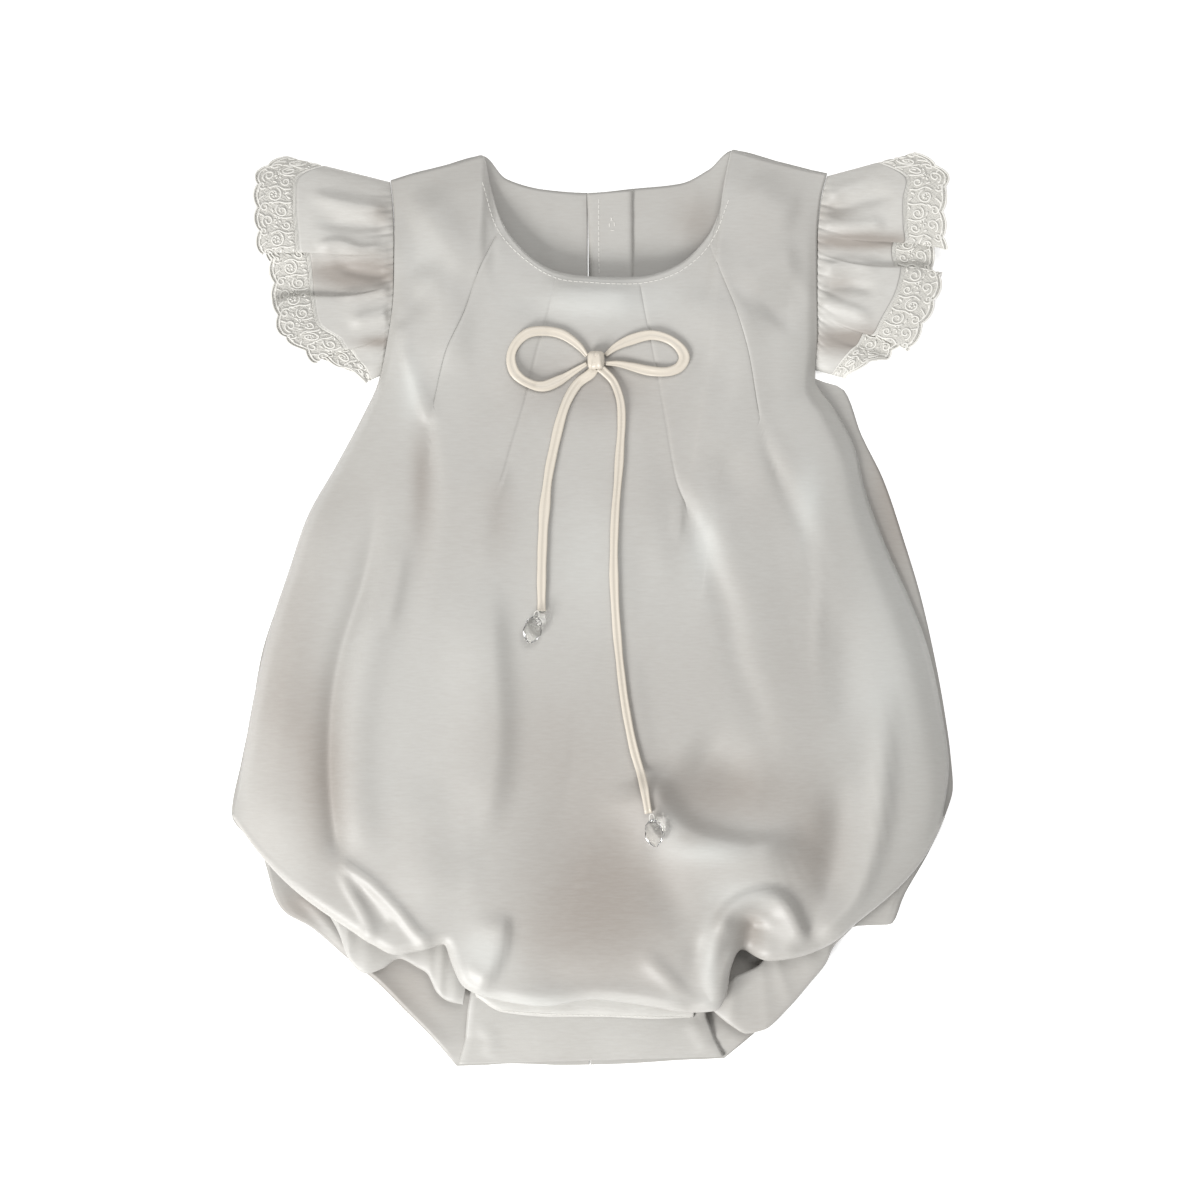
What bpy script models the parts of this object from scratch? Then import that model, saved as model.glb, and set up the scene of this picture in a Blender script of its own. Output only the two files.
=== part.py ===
# Baby romper in ivory satin laid flat on its back, with a gathered bubble front, flutter sleeves, lace and a bow
# Every table is in millimetres, seen from above: x to the right, y towards the neck, z up from the surface
import bpy
import bmesh
import numpy as np
from math import cos, hypot, pi, sin
from mathutils import Vector
from mathutils.bvhtree import BVHTree

MM = 0.001
BODY_CLOTH = 1.2
SLEEVE_CLOTH = 1.0
SEAM_GAP = 0.45
LAYER_GAP = 0.3
LACE_GAP = 0.75
BACK_MID = BODY_CLOTH / 2
FRONT_EDGE_MID = BODY_CLOTH + LAYER_GAP + BODY_CLOTH / 2
LACE_WIDTH = 19.0
SCALLOP_DEPTH = 1.1
SCALLOPS = 18
STRAP_WIDTH = 5.2
STRAP_THICK = 1.8
BEAD_WIDTH = 8.4
BEAD_LENGTH = 12.2
BEAD_THICK = 6.5
GATHER_HEIGHT = 0.8
GATHERS_FRONT = 14
GATHER_SAMPLE = 1.9
ROUND_STEPS = 5
TUCK_IN = 4.0
SLEEVE_STEPS = 4
LACE_STEPS = 2
UNDERARM = 0.32
NECK_LEFT = 0.18
NECK_RIGHT = 0.82

# Front panel: across is 0 at the left side and 1 at the right side, top is the shoulder and neck edge,
# bottom is the puffed lower edge
FRONT_COLUMNS = [
    # across, top x, top y, bottom x, bottom y
    (0.00, -91.1, 191.9, -163.1, -94.3),
    (0.05, -80.8, 195.1, -151.0, -110.5),
    (0.10, -70.0, 197.8, -139.7, -122.6),
    (0.14, -59.6, 200.5, -130.7, -130.3),
    (0.18, -50.0, 203.2, -120.8, -137.5),
    (0.22, -46.6, 190.6, -110.0, -144.7),
    (0.26, -43.4, 179.8, -98.8, -151.9),
    (0.31, -39.8, 170.8, -88.0, -156.6),
    (0.35, -33.1, 161.8, -77.2, -154.8),
    (0.385, -25.0, 154.6, -66.8, -151.9),
    (0.415, -16.0, 150.1, -63.2, -160.4),
    (0.445, -7.0, 148.3, -57.8, -170.8),
    (0.48, 2.0, 147.6, -43.4, -176.6),
    (0.52, 11.5, 147.4, -20.9, -179.6),
    (0.56, 21.4, 147.8, -0.2, -176.8),
    (0.60, 31.3, 150.1, 21.4, -178.9),
    (0.64, 41.2, 155.0, 43.0, -182.5),
    (0.68, 48.4, 161.8, 55.1, -181.6),
    (0.71, 53.3, 168.5, 60.1, -173.9),
    (0.74, 56.9, 177.1, 61.9, -163.1),
    (0.78, 60.8, 189.7, 66.8, -154.6),
    (0.82, 63.5, 205.7, 79.0, -159.5),
    (0.86, 72.7, 203.2, 92.5, -157.7),
    (0.90, 82.6, 200.5, 105.5, -152.8),
    (0.93, 89.8, 198.7, 118.6, -142.4),
    (0.96, 97.0, 196.9, 136.6, -128.0),
    (0.98, 101.5, 196.0, 150.1, -112.7),
    (1.00, 106.0, 195.1, 159.1, -95.6),
]
# Front panel sides: down is 0 at the shoulder and 1 at the lower corners
FRONT_SIDES = [
    # down, left x, left y, right x, right y
    (0.00, -91.1, 191.9, 106.0, 195.1),
    (0.05, -89.8, 179.8, 102.8, 182.9),
    (0.11, -89.1, 162.2, 101.0, 164.5),
    (0.18, -89.3, 142.0, 100.8, 144.7),
    (0.25, -92.0, 119.5, 101.0, 124.0),
    (0.32, -96.5, 100.1, 100.1, 102.4),
    (0.37, -103.7, 84.8, 108.7, 89.3),
    (0.44, -115.4, 63.2, 118.6, 70.4),
    (0.52, -128.9, 39.4, 123.5, 51.5),
    (0.60, -137.0, 16.0, 133.4, 25.9),
    (0.69, -146.0, -11.0, 143.8, 3.4),
    (0.78, -153.2, -41.2, 152.3, -18.7),
    (0.86, -157.3, -62.8, 158.4, -45.2),
    (0.93, -160.4, -79.9, 162.2, -71.8),
    (1.00, -163.1, -94.3, 159.1, -95.6),
]
# Height of the middle of the front cloth over the surface, one row for each section from the neck down
HEIGHT_ACROSS = (0.0, 0.06, 0.18, 0.31, 0.50, 0.69, 0.82, 0.94, 1.0)
FRONT_SECTIONS = [
    # down, left edge, 0.06, 0.18, 0.31, middle, 0.69, 0.82, 0.94, right edge
    (0.00, 2.1, 2.2, 2.1, 7.2, 9.9, 7.2, 2.1, 2.2, 2.1),
    (0.06, 4.2, 5.2, 5.4, 9.2, 10.8, 9.2, 5.4, 5.2, 4.2),
    (0.13, 6.6, 8.6, 10.0, 11.2, 11.8, 11.2, 10.0, 8.6, 6.6),
    (0.25, 6.6, 10.4, 12.0, 12.8, 13.0, 12.8, 12.0, 10.4, 6.6),
    (0.32, 2.4, 8.6, 12.2, 13.4, 13.6, 13.4, 12.2, 8.6, 2.4),
    (0.46, 2.1, 9.2, 13.6, 14.8, 15.2, 14.8, 13.6, 9.2, 2.1),
    (0.62, 2.1, 10.0, 15.6, 17.6, 18.4, 17.6, 15.6, 10.0, 2.1),
    (0.78, 2.1, 11.0, 17.6, 20.4, 21.6, 20.4, 17.6, 11.0, 2.1),
    (0.90, 2.3, 11.2, 18.4, 21.4, 22.6, 21.4, 18.4, 11.2, 2.3),
    (1.00, 4.3, 10.2, 18.6, 19.3, 19.3, 19.3, 18.6, 14.6, 4.3),
]
# The lower edge rolls under: height of its turned-in end and radius of the roll
LIP = [
    # across, turned end height, radius
    (0.00, 2.1, 1.1),
    (0.06, 5.4, 2.4),
    (0.12, 8.4, 4.0),
    (0.20, 9.3, 5.0),
    (0.80, 9.3, 5.0),
    (0.90, 9.2, 4.4),
    (0.94, 8.2, 3.2),
    (0.97, 5.4, 2.0),
    (1.00, 2.1, 1.1),
]
# Largest folds of the front, ridges up and troughs down, each along three points
FRONT_FOLDS = [
    # name, start x, start y, middle x, middle y, end x, end y, width, height
    ("left outer tuck", -40.3, 170.8, -66.8, 111.8, -81.2, 2.5, 7.0, 1.5),
    ("left inner tuck", -16.0, 148.7, -31.7, 87.1, -47.0, 38.5, 6.0, 1.2),
    ("right inner tuck", 21.4, 145.1, 34.4, 74.5, 75.4, -56.0, 6.5, 1.6),
    ("right outer tuck", 53.8, 165.4, 75.4, 84.4, 98.8, 32.6, 6.5, 1.5),
    ("left armhole fold", -89.8, 128.5, -84.4, 101.5, -72.2, 74.5, 6.0, 1.4),
    ("left side fold", -118.1, 56.5, -111.4, -15.5, -118.1, -62.8, 13.0, 1.8),
    ("left lap trough", -122.6, -42.5, -119.0, -87.5, -109.1, -134.8, 9.0, -3.0),
    ("left lap ridge", -113.6, -51.5, -111.4, -110.0, -83.0, -146.0, 8.0, 2.2),
    ("left belly trough", -55.1, -6.5, -41.6, -78.5, -32.6, -132.5, 26.0, -2.0),
    ("middle belly ridge", -14.6, 20.5, -7.9, -60.5, -14.6, -132.5, 26.0, 1.6),
    ("puff by the left notch", -39.4, -134.8, -50.6, -152.8, -52.9, -166.3, 9.0, 2.0),
    ("right hip ridge", 28.1, -92.9, 46.1, -106.4, 79.9, -119.0, 8.0, 2.2),
    ("right side trough", 102.4, 20.5, 100.1, -33.5, 111.4, -101.0, 13.0, -2.2),
    ("right side ridge", 129.4, -65.0, 122.2, -110.0, 97.9, -148.3, 8.0, 2.2),
    ("arch ridge left", 54.2, -157.3, 58.3, -139.3, 74.0, -129.4, 8.5, 1.8),
    ("arch ridge right", 74.0, -129.4, 86.6, -132.5, 92.0, -146.0, 7.0, 2.2),
    ("arch hollow", 73.1, -155.0, 74.5, -146.0, 75.4, -138.8, 7.5, -2.6),
]
# Back panels: both lie flat, the split runs down the centre back
BACK_SPLIT = 0.48
BACK_COLUMNS = [
    # across, top x, top y, bottom x, bottom y
    (0.00, -91.1, 191.9, -61.4, -208.1),
    (0.10, -70.4, 197.8, -49.3, -207.7),
    (0.20, -50.0, 203.2, -37.1, -207.0),
    (0.28, -38.9, 192.8, -27.2, -207.2),
    (0.38, -21.4, 187.9, -14.6, -207.7),
    (0.48, -2.0, 186.5, -1.1, -207.5),
    (0.58, 17.8, 188.3, 10.6, -207.2),
    (0.68, 39.4, 190.6, 22.3, -206.6),
    (0.76, 52.4, 196.9, 32.2, -205.9),
    (0.82, 63.5, 205.7, 39.4, -205.4),
    (0.91, 84.8, 200.5, 49.7, -205.0),
    (1.00, 106.0, 195.1, 59.6, -204.5),
]
BACK_SIDES = [
    # down, left x, left y, right x, right y
    (0.00, -91.1, 191.9, 106.0, 195.1),
    (0.05, -89.8, 179.8, 102.8, 182.9),
    (0.10, -89.1, 162.2, 101.0, 164.5),
    (0.15, -89.3, 142.0, 100.8, 144.7),
    (0.20, -92.0, 119.5, 101.0, 124.0),
    (0.24, -96.5, 100.1, 100.6, 103.3),
    (0.26, -100.1, 92.5, 113.2, 97.9),
    (0.30, -106.9, 79.0, 121.3, 77.6),
    (0.36, -116.8, 61.0, 131.6, 56.5),
    (0.43, -129.8, 37.6, 140.6, 29.9),
    (0.50, -138.8, 10.6, 148.3, 4.3),
    (0.57, -149.6, -22.3, 154.1, -20.9),
    (0.63, -154.1, -47.9, 158.6, -44.8),
    (0.69, -158.6, -70.0, 161.8, -67.3),
    (0.74, -163.1, -94.3, 162.9, -82.1),
    (0.78, -149.6, -111.8, 158.6, -97.0),
    (0.81, -143.3, -132.5, 151.7, -111.8),
    (0.84, -138.8, -138.8, 141.1, -130.3),
    (0.87, -127.6, -145.1, 134.3, -144.2),
    (0.90, -110.0, -160.0, 119.5, -144.7),
    (0.93, -97.4, -170.3, 105.1, -158.2),
    (0.96, -84.8, -182.9, 88.9, -177.5),
    (0.98, -72.2, -195.5, 73.6, -192.8),
    (1.00, -61.4, -208.1, 59.6, -204.5),
]
# Sleeves: one row for each fold line of the ruffle, round the armhole from the shoulder fold over the
# front to the underarm and back along the flat underside
LEFT_SLEEVE = [
    # seam y, seam z, edge x, edge y, edge z
    (191.0, 1.5, -138.4, 202.3, 6.5),
    (187.9, 3.0, -150.5, 194.6, 12.0),
    (178.0, 4.9, -151.9, 180.2, 14.2),
    (167.2, 6.3, -151.0, 165.4, 14.0),
    (160.9, 6.6, -150.1, 156.8, 12.6),
    (157.7, 6.6, -146.9, 160.0, 9.4),
    (153.7, 6.6, -145.6, 151.9, 6.8),
    (148.7, 6.6, -144.7, 142.0, 6.8),
    (145.1, 6.6, -144.2, 133.4, 6.8),
    (142.4, 6.6, -143.8, 135.7, 10.4),
    (135.7, 6.6, -140.6, 120.8, 12.8),
    (129.4, 6.6, -131.6, 114.1, 12.4),
    (124.9, 6.5, -125.3, 108.2, 11.0),
    (121.3, 6.2, -121.7, 110.9, 7.6),
    (115.9, 5.4, -114.5, 106.4, 7.6),
    (110.5, 4.4, -108.2, 105.1, 7.8),
    (104.6, 2.4, -102.8, 100.6, 4.4),
    (105.5, 0.5, -105.5, 104.2, 0.5),
    (117.2, 0.5, -130.7, 116.8, 0.5),
    (142.0, 0.5, -143.8, 142.0, 0.5),
    (166.7, 0.5, -148.7, 171.2, 0.5),
    (187.0, 0.5, -145.1, 195.1, 0.5),
]
RIGHT_SLEEVE = [
    # seam y, seam z, edge x, edge y, edge z
    (193.7, 1.5, 146.5, 204.1, 6.5),
    (191.0, 3.0, 159.5, 193.3, 12.0),
    (183.4, 4.7, 158.6, 180.7, 14.2),
    (174.8, 5.9, 158.6, 168.5, 13.8),
    (169.9, 6.4, 159.1, 159.1, 12.2),
    (166.7, 6.6, 155.0, 162.2, 9.2),
    (163.1, 6.6, 153.7, 155.9, 6.8),
    (159.5, 6.6, 155.0, 146.0, 6.8),
    (156.4, 6.6, 157.7, 148.3, 10.4),
    (147.4, 6.6, 154.6, 135.7, 12.8),
    (139.3, 6.6, 147.4, 121.3, 12.6),
    (133.9, 6.6, 142.9, 113.2, 11.2),
    (130.7, 6.6, 138.8, 116.3, 8.2),
    (126.7, 6.4, 133.9, 110.5, 6.8),
    (122.2, 6.2, 128.5, 109.6, 8.4),
    (115.9, 5.2, 121.3, 106.4, 8.8),
    (107.3, 2.4, 114.1, 102.8, 4.6),
    (109.1, 0.5, 115.9, 106.0, 0.5),
    (126.2, 0.5, 139.3, 121.3, 0.5),
    (151.0, 0.5, 151.9, 145.6, 0.5),
    (171.2, 0.5, 154.6, 172.6, 0.5),
    (189.7, 0.5, 149.6, 197.8, 0.5),
]
FRONT_FOLD_ROWS = 17
# Gathered elastic casings of the leg openings, from the side to the crotch
LEFT_CASING = [
    # inner x, inner y, outer x, outer y, height
    (-123.5, -125.3, -122.6, -133.9, 4.6),
    (-115.4, -130.7, -115.0, -146.0, 6.4),
    (-109.1, -134.8, -109.1, -160.4, 7.0),
    (-102.8, -138.4, -101.9, -165.8, 7.0),
    (-95.6, -142.0, -94.7, -163.6, 7.0),
    (-88.4, -144.7, -87.1, -159.1, 7.0),
    (-81.7, -144.7, -79.4, -162.7, 7.0),
    (-74.9, -142.9, -74.5, -165.8, 7.0),
    (-68.6, -143.8, -70.0, -174.4, 7.0),
    (-62.3, -152.8, -64.6, -178.4, 6.8),
    (-56.0, -165.8, -58.3, -179.8, 6.6),
]
RIGHT_CASING = [
    # inner x, inner y, outer x, outer y, height
    (119.5, -133.4, 121.3, -141.1, 4.2),
    (112.3, -137.5, 115.0, -147.4, 5.8),
    (104.2, -141.1, 108.7, -153.7, 6.8),
    (96.1, -145.1, 105.1, -161.3, 7.0),
    (88.0, -150.1, 97.4, -170.8, 7.0),
    (80.8, -155.5, 88.9, -180.7, 7.0),
    (74.5, -162.2, 77.6, -191.0, 7.0),
    (69.1, -164.9, 69.5, -192.8, 7.0),
    (64.1, -167.2, 63.2, -189.7, 7.0),
    (59.6, -170.8, 58.3, -186.1, 6.8),
    (55.1, -173.0, 54.2, -182.5, 6.6),
]
CASING_CLOTH = 1.3
CASING_GATHER = 0.35
# Crotch band in front, from under the puffed edge down to the fold, and the bright binding on it
CROTCH_BAND = [
    # down, left x, left y, right x, right y, height
    (0.0, -53.8, -162.2, 49.7, -167.6, 6.2),
    (0.3, -54.7, -173.9, 50.6, -178.4, 5.2),
    (0.5, -56.2, -182.0, 51.5, -185.6, 4.0),
    (0.8, -57.4, -195.5, 55.1, -195.5, 2.6),
    (1.0, -60.5, -207.2, 59.2, -203.6, 2.1),
]
BINDING = [
    # across, upper x, upper y, lower x, lower y
    (0.0, -53.8, -170.8, -52.4, -176.2),
    (0.2, -39.4, -173.9, -40.3, -183.4),
    (0.4, -16.4, -174.4, -16.4, -185.6),
    (0.6, 5.6, -173.0, 5.6, -185.6),
    (0.8, 26.8, -173.9, 27.7, -186.5),
    (1.0, 45.7, -175.7, 45.7, -185.6),
]
BINDING_CLOTH = 1.0
PLACKET = [
    # down, left x, left y, right x, right y
    (0.0, -2.5, 186.1, 18.2, 187.7),
    (0.5, -1.1, 146.5, 18.4, 147.4),
    (1.0, -1.1, 38.5, 18.7, 38.5),
]
BOW_CENTRE = (1.6, 110.0)
LEFT_LOOP = [
    # x, y, width share
    (-2.5, 112.0, 0.42),
    (-6.5, 116.8, 0.75),
    (-13.3, 121.5, 1.0),
    (-20.9, 123.1, 1.0),
    (-28.6, 122.2, 1.0),
    (-34.0, 117.7, 1.0),
    (-36.5, 111.4, 1.0),
    (-34.9, 104.6, 1.0),
    (-29.5, 100.1, 1.0),
    (-22.3, 98.3, 1.0),
    (-14.6, 101.2, 1.0),
    (-7.9, 105.3, 0.75),
    (-2.5, 108.5, 0.42),
]
RIGHT_LOOP = [
    # x, y, width share
    (5.9, 112.3, 0.42),
    (10.6, 116.1, 0.75),
    (17.3, 119.2, 1.0),
    (25.9, 121.3, 1.0),
    (33.5, 119.7, 1.0),
    (38.9, 115.9, 1.0),
    (41.2, 111.2, 1.0),
    (38.9, 106.9, 1.0),
    (33.5, 104.9, 1.0),
    (25.9, 105.3, 1.0),
    (18.2, 107.1, 0.9),
    (11.5, 108.5, 0.7),
    (5.9, 108.7, 0.42),
]
LEFT_TAIL = [
    # x, y
    (-0.9, 104.0),
    (-6.5, 99.7),
    (-11.0, 92.5),
    (-14.2, 83.5),
    (-16.9, 72.2),
    (-19.6, 58.7),
    (-21.4, 43.0),
    (-22.3, 27.2),
    (-22.7, 11.5),
    (-22.7, -2.5),
]
RIGHT_TAIL = [
    # x, y
    (5.4, 104.9),
    (9.7, 100.1),
    (12.6, 91.6),
    (13.1, 81.7),
    (12.4, 70.0),
    (11.5, 56.5),
    (10.3, 42.1),
    (9.7, 27.2),
    (9.7, 11.5),
    (10.6, -6.5),
    (12.2, -24.5),
    (14.6, -43.9),
    (18.2, -62.8),
    (22.3, -77.6),
    (25.0, -92.5),
]
LEFT_BEAD = (-26.6, -10.6, 14.0)
RIGHT_BEAD = (27.4, -101.0, -8.0)
KNOT_SIZE = (7.2, 8.2, 4.4)


def hermite(keys, values, slopes, i, t):
    # Cubic curve between two rows with the given slopes
    h = keys[i + 1] - keys[i]
    s = (t - keys[i]) / h
    a = 2 * s ** 3 - 3 * s ** 2 + 1
    b = s ** 3 - 2 * s ** 2 + s
    c = -2 * s ** 3 + 3 * s ** 2
    d = s ** 3 - s ** 2
    return a * values[i] + b * h * slopes[i] + c * values[i + 1] + d * h * slopes[i + 1]


def interpolate(rows, t):
    # Value of a table at t along its first column, by a smooth curve through every row
    table = np.array([row for row in rows], dtype=float)
    keys = table[:, 0]
    values = table[:, 1:]
    slopes = np.gradient(values, keys, axis=0)
    t = min(max(t, keys[0]), keys[-1])
    i = int(min(max(np.searchsorted(keys, t, side="right") - 1, 0), len(keys) - 2))
    return hermite(keys, values, slopes, i, t)


def level(rows, t):
    # Value of a table at t by a smooth curve that never passes beyond its rows
    table = np.array([row for row in rows], dtype=float)
    keys = table[:, 0]
    values = table[:, 1:]
    rates = np.diff(values, axis=0) / np.diff(keys)[:, None]
    slopes = np.zeros_like(values)
    both = rates[:-1] * rates[1:] > 0
    total = rates[:-1] + rates[1:]
    slopes[1:-1] = np.where(both, 2 * rates[:-1] * rates[1:] / np.where(both, total, 1.0), 0.0)
    slopes[0] = rates[0]
    slopes[-1] = rates[-1]
    t = min(max(t, keys[0]), keys[-1])
    i = int(min(max(np.searchsorted(keys, t, side="right") - 1, 0), len(keys) - 2))
    return hermite(keys, values, slopes, i, t)


def straight(rows, t):
    # Value of a table at t along its first column, by straight lines from row to row
    table = np.array([row for row in rows], dtype=float)
    return np.array([np.interp(t, table[:, 0], table[:, k]) for k in range(1, table.shape[1])])


def between(rows, steps, wide=0.0):
    # First column of a table with each interval wider than a limit cut into equal steps
    keys = [row[0] for row in rows]
    found = []
    for first, second in zip(keys[:-1], keys[1:]):
        parts = steps if second - first > wide else 1
        found.extend(first + (second - first) * k / parts for k in range(parts))
    found.append(keys[-1])
    return found


def plan_point(columns, sides, u, v):
    # Point of a panel seen from above, blended from its four edges
    column = straight(columns, u)
    side = level(sides, v)
    left_top = np.array(columns[0][1:3])
    left_bottom = np.array(columns[0][3:5])
    right_top = np.array(columns[-1][1:3])
    right_bottom = np.array(columns[-1][3:5])
    across = (1 - u) * side[0:2] + u * side[2:4]
    down = (1 - v) * column[0:2] + v * column[2:4]
    corners = (1 - u) * ((1 - v) * left_top + v * left_bottom)
    corners = corners + u * ((1 - v) * right_top + v * right_bottom)
    return across + down - corners


def fold_height(x, y):
    # Sum of the ridges and troughs at a point of the front
    total = 0.0
    for row in FRONT_FOLDS:
        start, middle, end = np.array(row[1:3]), np.array(row[3:5]), np.array(row[5:7])
        width, height = row[7], row[8]
        nearest = None
        for first, second, base in ((start, middle, 0.0), (middle, end, 0.5)):
            step = second - first
            share = float(np.dot(np.array((x, y)) - first, step) / np.dot(step, step))
            share = min(max(share, 0.0), 1.0)
            away = hypot(*(first + step * share - np.array((x, y))))
            if nearest is None or away < nearest[0]:
                nearest = (away, base + share * 0.5)
        fade = min(1.0, 4.0 * nearest[1] + 0.35) * min(1.0, 4.0 * (1.0 - nearest[1]) + 0.1)
        total += height * fade * 2.718 ** (-(nearest[0] / width) ** 2)
    return total


def front_mid(u, v):
    # Middle of the front cloth before its lower edge rolls under
    x, y = plan_point(FRONT_COLUMNS, FRONT_SIDES, u, v)
    section = level(FRONT_SECTIONS, v)
    z = float(level(list(zip(HEIGHT_ACROSS, section)), u)[0])
    inward = min(1.0, u / 0.06, (1 - u) / 0.06) * min(1.0, v / 0.04 + 0.2)
    z += fold_height(x, y) * inward
    return np.array((x, y, z))


def front_columns():
    return between(FRONT_COLUMNS, 2, 0.045)


def front_rows():
    return [v for v in between(FRONT_SIDES, 2, 0.065) if v < 0.995] + [1.0]


def lower_edge(u):
    # Point on the lower edge and the direction square to it, seen from above
    before = plan_point(FRONT_COLUMNS, FRONT_SIDES, max(u - 0.025, 0.0), 1.0)
    after = plan_point(FRONT_COLUMNS, FRONT_SIDES, min(u + 0.025, 1.0), 1.0)
    along = (after - before) / hypot(*(after - before))
    return plan_point(FRONT_COLUMNS, FRONT_SIDES, u, 1.0), np.array((along[1], -along[0]))


def front_grid():
    # Points of the front, from the neck to the turned-in end of the lower edge
    rows = []
    for u in front_columns():
        turned, radius = straight(LIP, u)
        edge, outward = lower_edge(u)
        length = hypot(*(edge - plan_point(FRONT_COLUMNS, FRONT_SIDES, u, 0.0)))
        reach = 1.0 - (radius + BODY_CLOTH / 2) / length
        line = [front_mid(u, v * reach) for v in front_rows()]
        shift = edge - outward * (radius + BODY_CLOTH / 2) - line[-1][0:2]
        for point, v in zip(line, front_rows()):
            share = min(max((v - 0.35) / 0.65, 0.0), 1.0)
            point[0:2] += shift * share
        start = line[-1]
        centre_z = start[2] - radius * 1.0
        drop = centre_z - turned
        for k in range(1, ROUND_STEPS + 1):
            angle = pi * k / ROUND_STEPS
            low = max(0.0, -cos(angle)) / 1.0
            z = centre_z + radius * cos(angle) if angle <= pi / 2 else centre_z - drop * low
            xy = start[0:2] + outward * radius * sin(angle)
            line.append(np.array((xy[0], xy[1], z)))
        xy = start[0:2] - outward * min(TUCK_IN, radius)
        line.append(np.array((xy[0], xy[1], turned)))
        rows.append(line)
    return np.array(rows)


def material(name, colour, roughness, transmission=0.0):
    found = bpy.data.materials.new(name)
    found.use_nodes = True
    shader = found.node_tree.nodes["Principled BSDF"]
    shader.inputs["Base Color"].default_value = (*colour, 1.0)
    shader.inputs["Roughness"].default_value = roughness
    shader.inputs["Metallic"].default_value = 0.0
    shader.inputs["Transmission Weight"].default_value = transmission
    return found


def add_object(name, points, faces, look, smooth=True):
    # One closed body from its points in millimetres
    mesh = bpy.data.meshes.new(name)
    mesh.from_pydata([(p[0] * MM, p[1] * MM, p[2] * MM) for p in points], [], faces)
    work = bmesh.new()
    work.from_mesh(mesh)
    bmesh.ops.triangulate(work, faces=work.faces, quad_method="SHORT_EDGE")
    bmesh.ops.recalc_face_normals(work, faces=work.faces)
    if work.calc_volume(signed=True) < 0:
        bmesh.ops.reverse_faces(work, faces=work.faces)
    work.to_mesh(mesh)
    work.free()
    for face in mesh.polygons:
        face.use_smooth = smooth
    mesh.materials.append(look)
    made = bpy.data.objects.new(name, mesh)
    bpy.context.scene.collection.objects.link(made)
    return made


def grid_normals(grid, ring=False):
    # Unit directions square to a grid of points
    if ring:
        du = np.roll(grid, -1, axis=0) - np.roll(grid, 1, axis=0)
    else:
        du = np.gradient(grid, axis=0)
    dv = np.gradient(grid, axis=1)
    normals = np.cross(du, dv)
    lengths = np.linalg.norm(normals, axis=2, keepdims=True)
    return normals / np.maximum(lengths, 1e-9)


def wall(name, grid, normals, thickness, look, ring=False):
    # Cloth wall of even thickness with the grid in its middle
    nu, nv = grid.shape[0], grid.shape[1]
    above = grid + normals * thickness / 2
    below = grid - normals * thickness / 2
    points = list(above.reshape(-1, 3)) + list(below.reshape(-1, 3))
    count = nu * nv
    faces = []
    for i in range(nu if ring else nu - 1):
        n = (i + 1) % nu
        for j in range(nv - 1):
            a, b, c, d = i * nv + j, n * nv + j, n * nv + j + 1, i * nv + j + 1
            faces.append((a, b, c, d))
            faces.append((d + count, c + count, b + count, a + count))
        for j in (0, nv - 1):
            a, b = i * nv + j, n * nv + j
            faces.append((a, a + count, b + count, b) if j == 0 else (b, b + count, a + count, a))
    if not ring:
        for i in (0, nu - 1):
            for j in range(nv - 1):
                a, b = i * nv + j, i * nv + j + 1
                faces.append((b, b + count, a + count, a) if i == 0 else (a, a + count, b + count, b))
    return add_object(name, points, faces, look)


def flat_normals(grid):
    normals = np.zeros_like(grid)
    normals[:, :, 2] = 1.0
    return normals


def build_front(look):
    grid = front_grid()
    normals = grid_normals(grid)
    if normals[len(normals) // 2, 4, 2] < 0:
        normals = -normals
    down = len(front_rows())
    for i in (0, len(grid) - 1):
        for j in range(down):
            normals[i, j] = (0.0, 0.0, 1.0)
    for i, u in enumerate(front_columns()):
        if u <= NECK_LEFT or u >= NECK_RIGHT:
            normals[i, 0] = (0.0, 0.0, 1.0)
    return wall("front_panel", grid, normals, BODY_CLOTH, look)


def build_back(name, first, last, look):
    keys = [u for u in between(BACK_COLUMNS, 1) if first < u < last]
    keys = [first] + keys + [last]
    shift = SEAM_GAP / 2 if first > 0 else -SEAM_GAP / 2
    down = between(BACK_SIDES, 2, 0.045)
    side = "left" if first == 0 else "right"
    underarm = level(FRONT_SIDES, UNDERARM)[1 if side == "left" else 3]
    grid = np.zeros((len(keys), len(down), 3))
    centre = [row for row in BACK_COLUMNS if row[0] == BACK_SPLIT][0]
    for i, u in enumerate(keys):
        near = 1 - abs(u - BACK_SPLIT) / (BACK_SPLIT if first == 0 else 1 - BACK_SPLIT)
        for j, v in enumerate(down):
            x, y = plan_point(BACK_COLUMNS, BACK_SIDES, u, v)
            bend = centre[1] + (centre[3] - centre[1]) * v - plan_point(BACK_COLUMNS, BACK_SIDES, BACK_SPLIT, v)[0]
            x = x + bend * near
            if u == BACK_SPLIT:
                x = x + shift
            if u in (0.0, 1.0) and y > underarm:
                x = armhole_x(side, y)
            grid[i, j] = (x, y, BACK_MID)
    return wall(name, grid, flat_normals(grid), BODY_CLOTH, look)


def armhole_x(side, y):
    # Where the armhole seam crosses a distance along the garment
    column = 1 if side == "left" else 3
    sides = [level(FRONT_SIDES, v) for v in front_rows() if v < UNDERARM + 0.001]
    return float(straight(sorted((row[column], row[column - 1]) for row in sides), y)[0])


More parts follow.
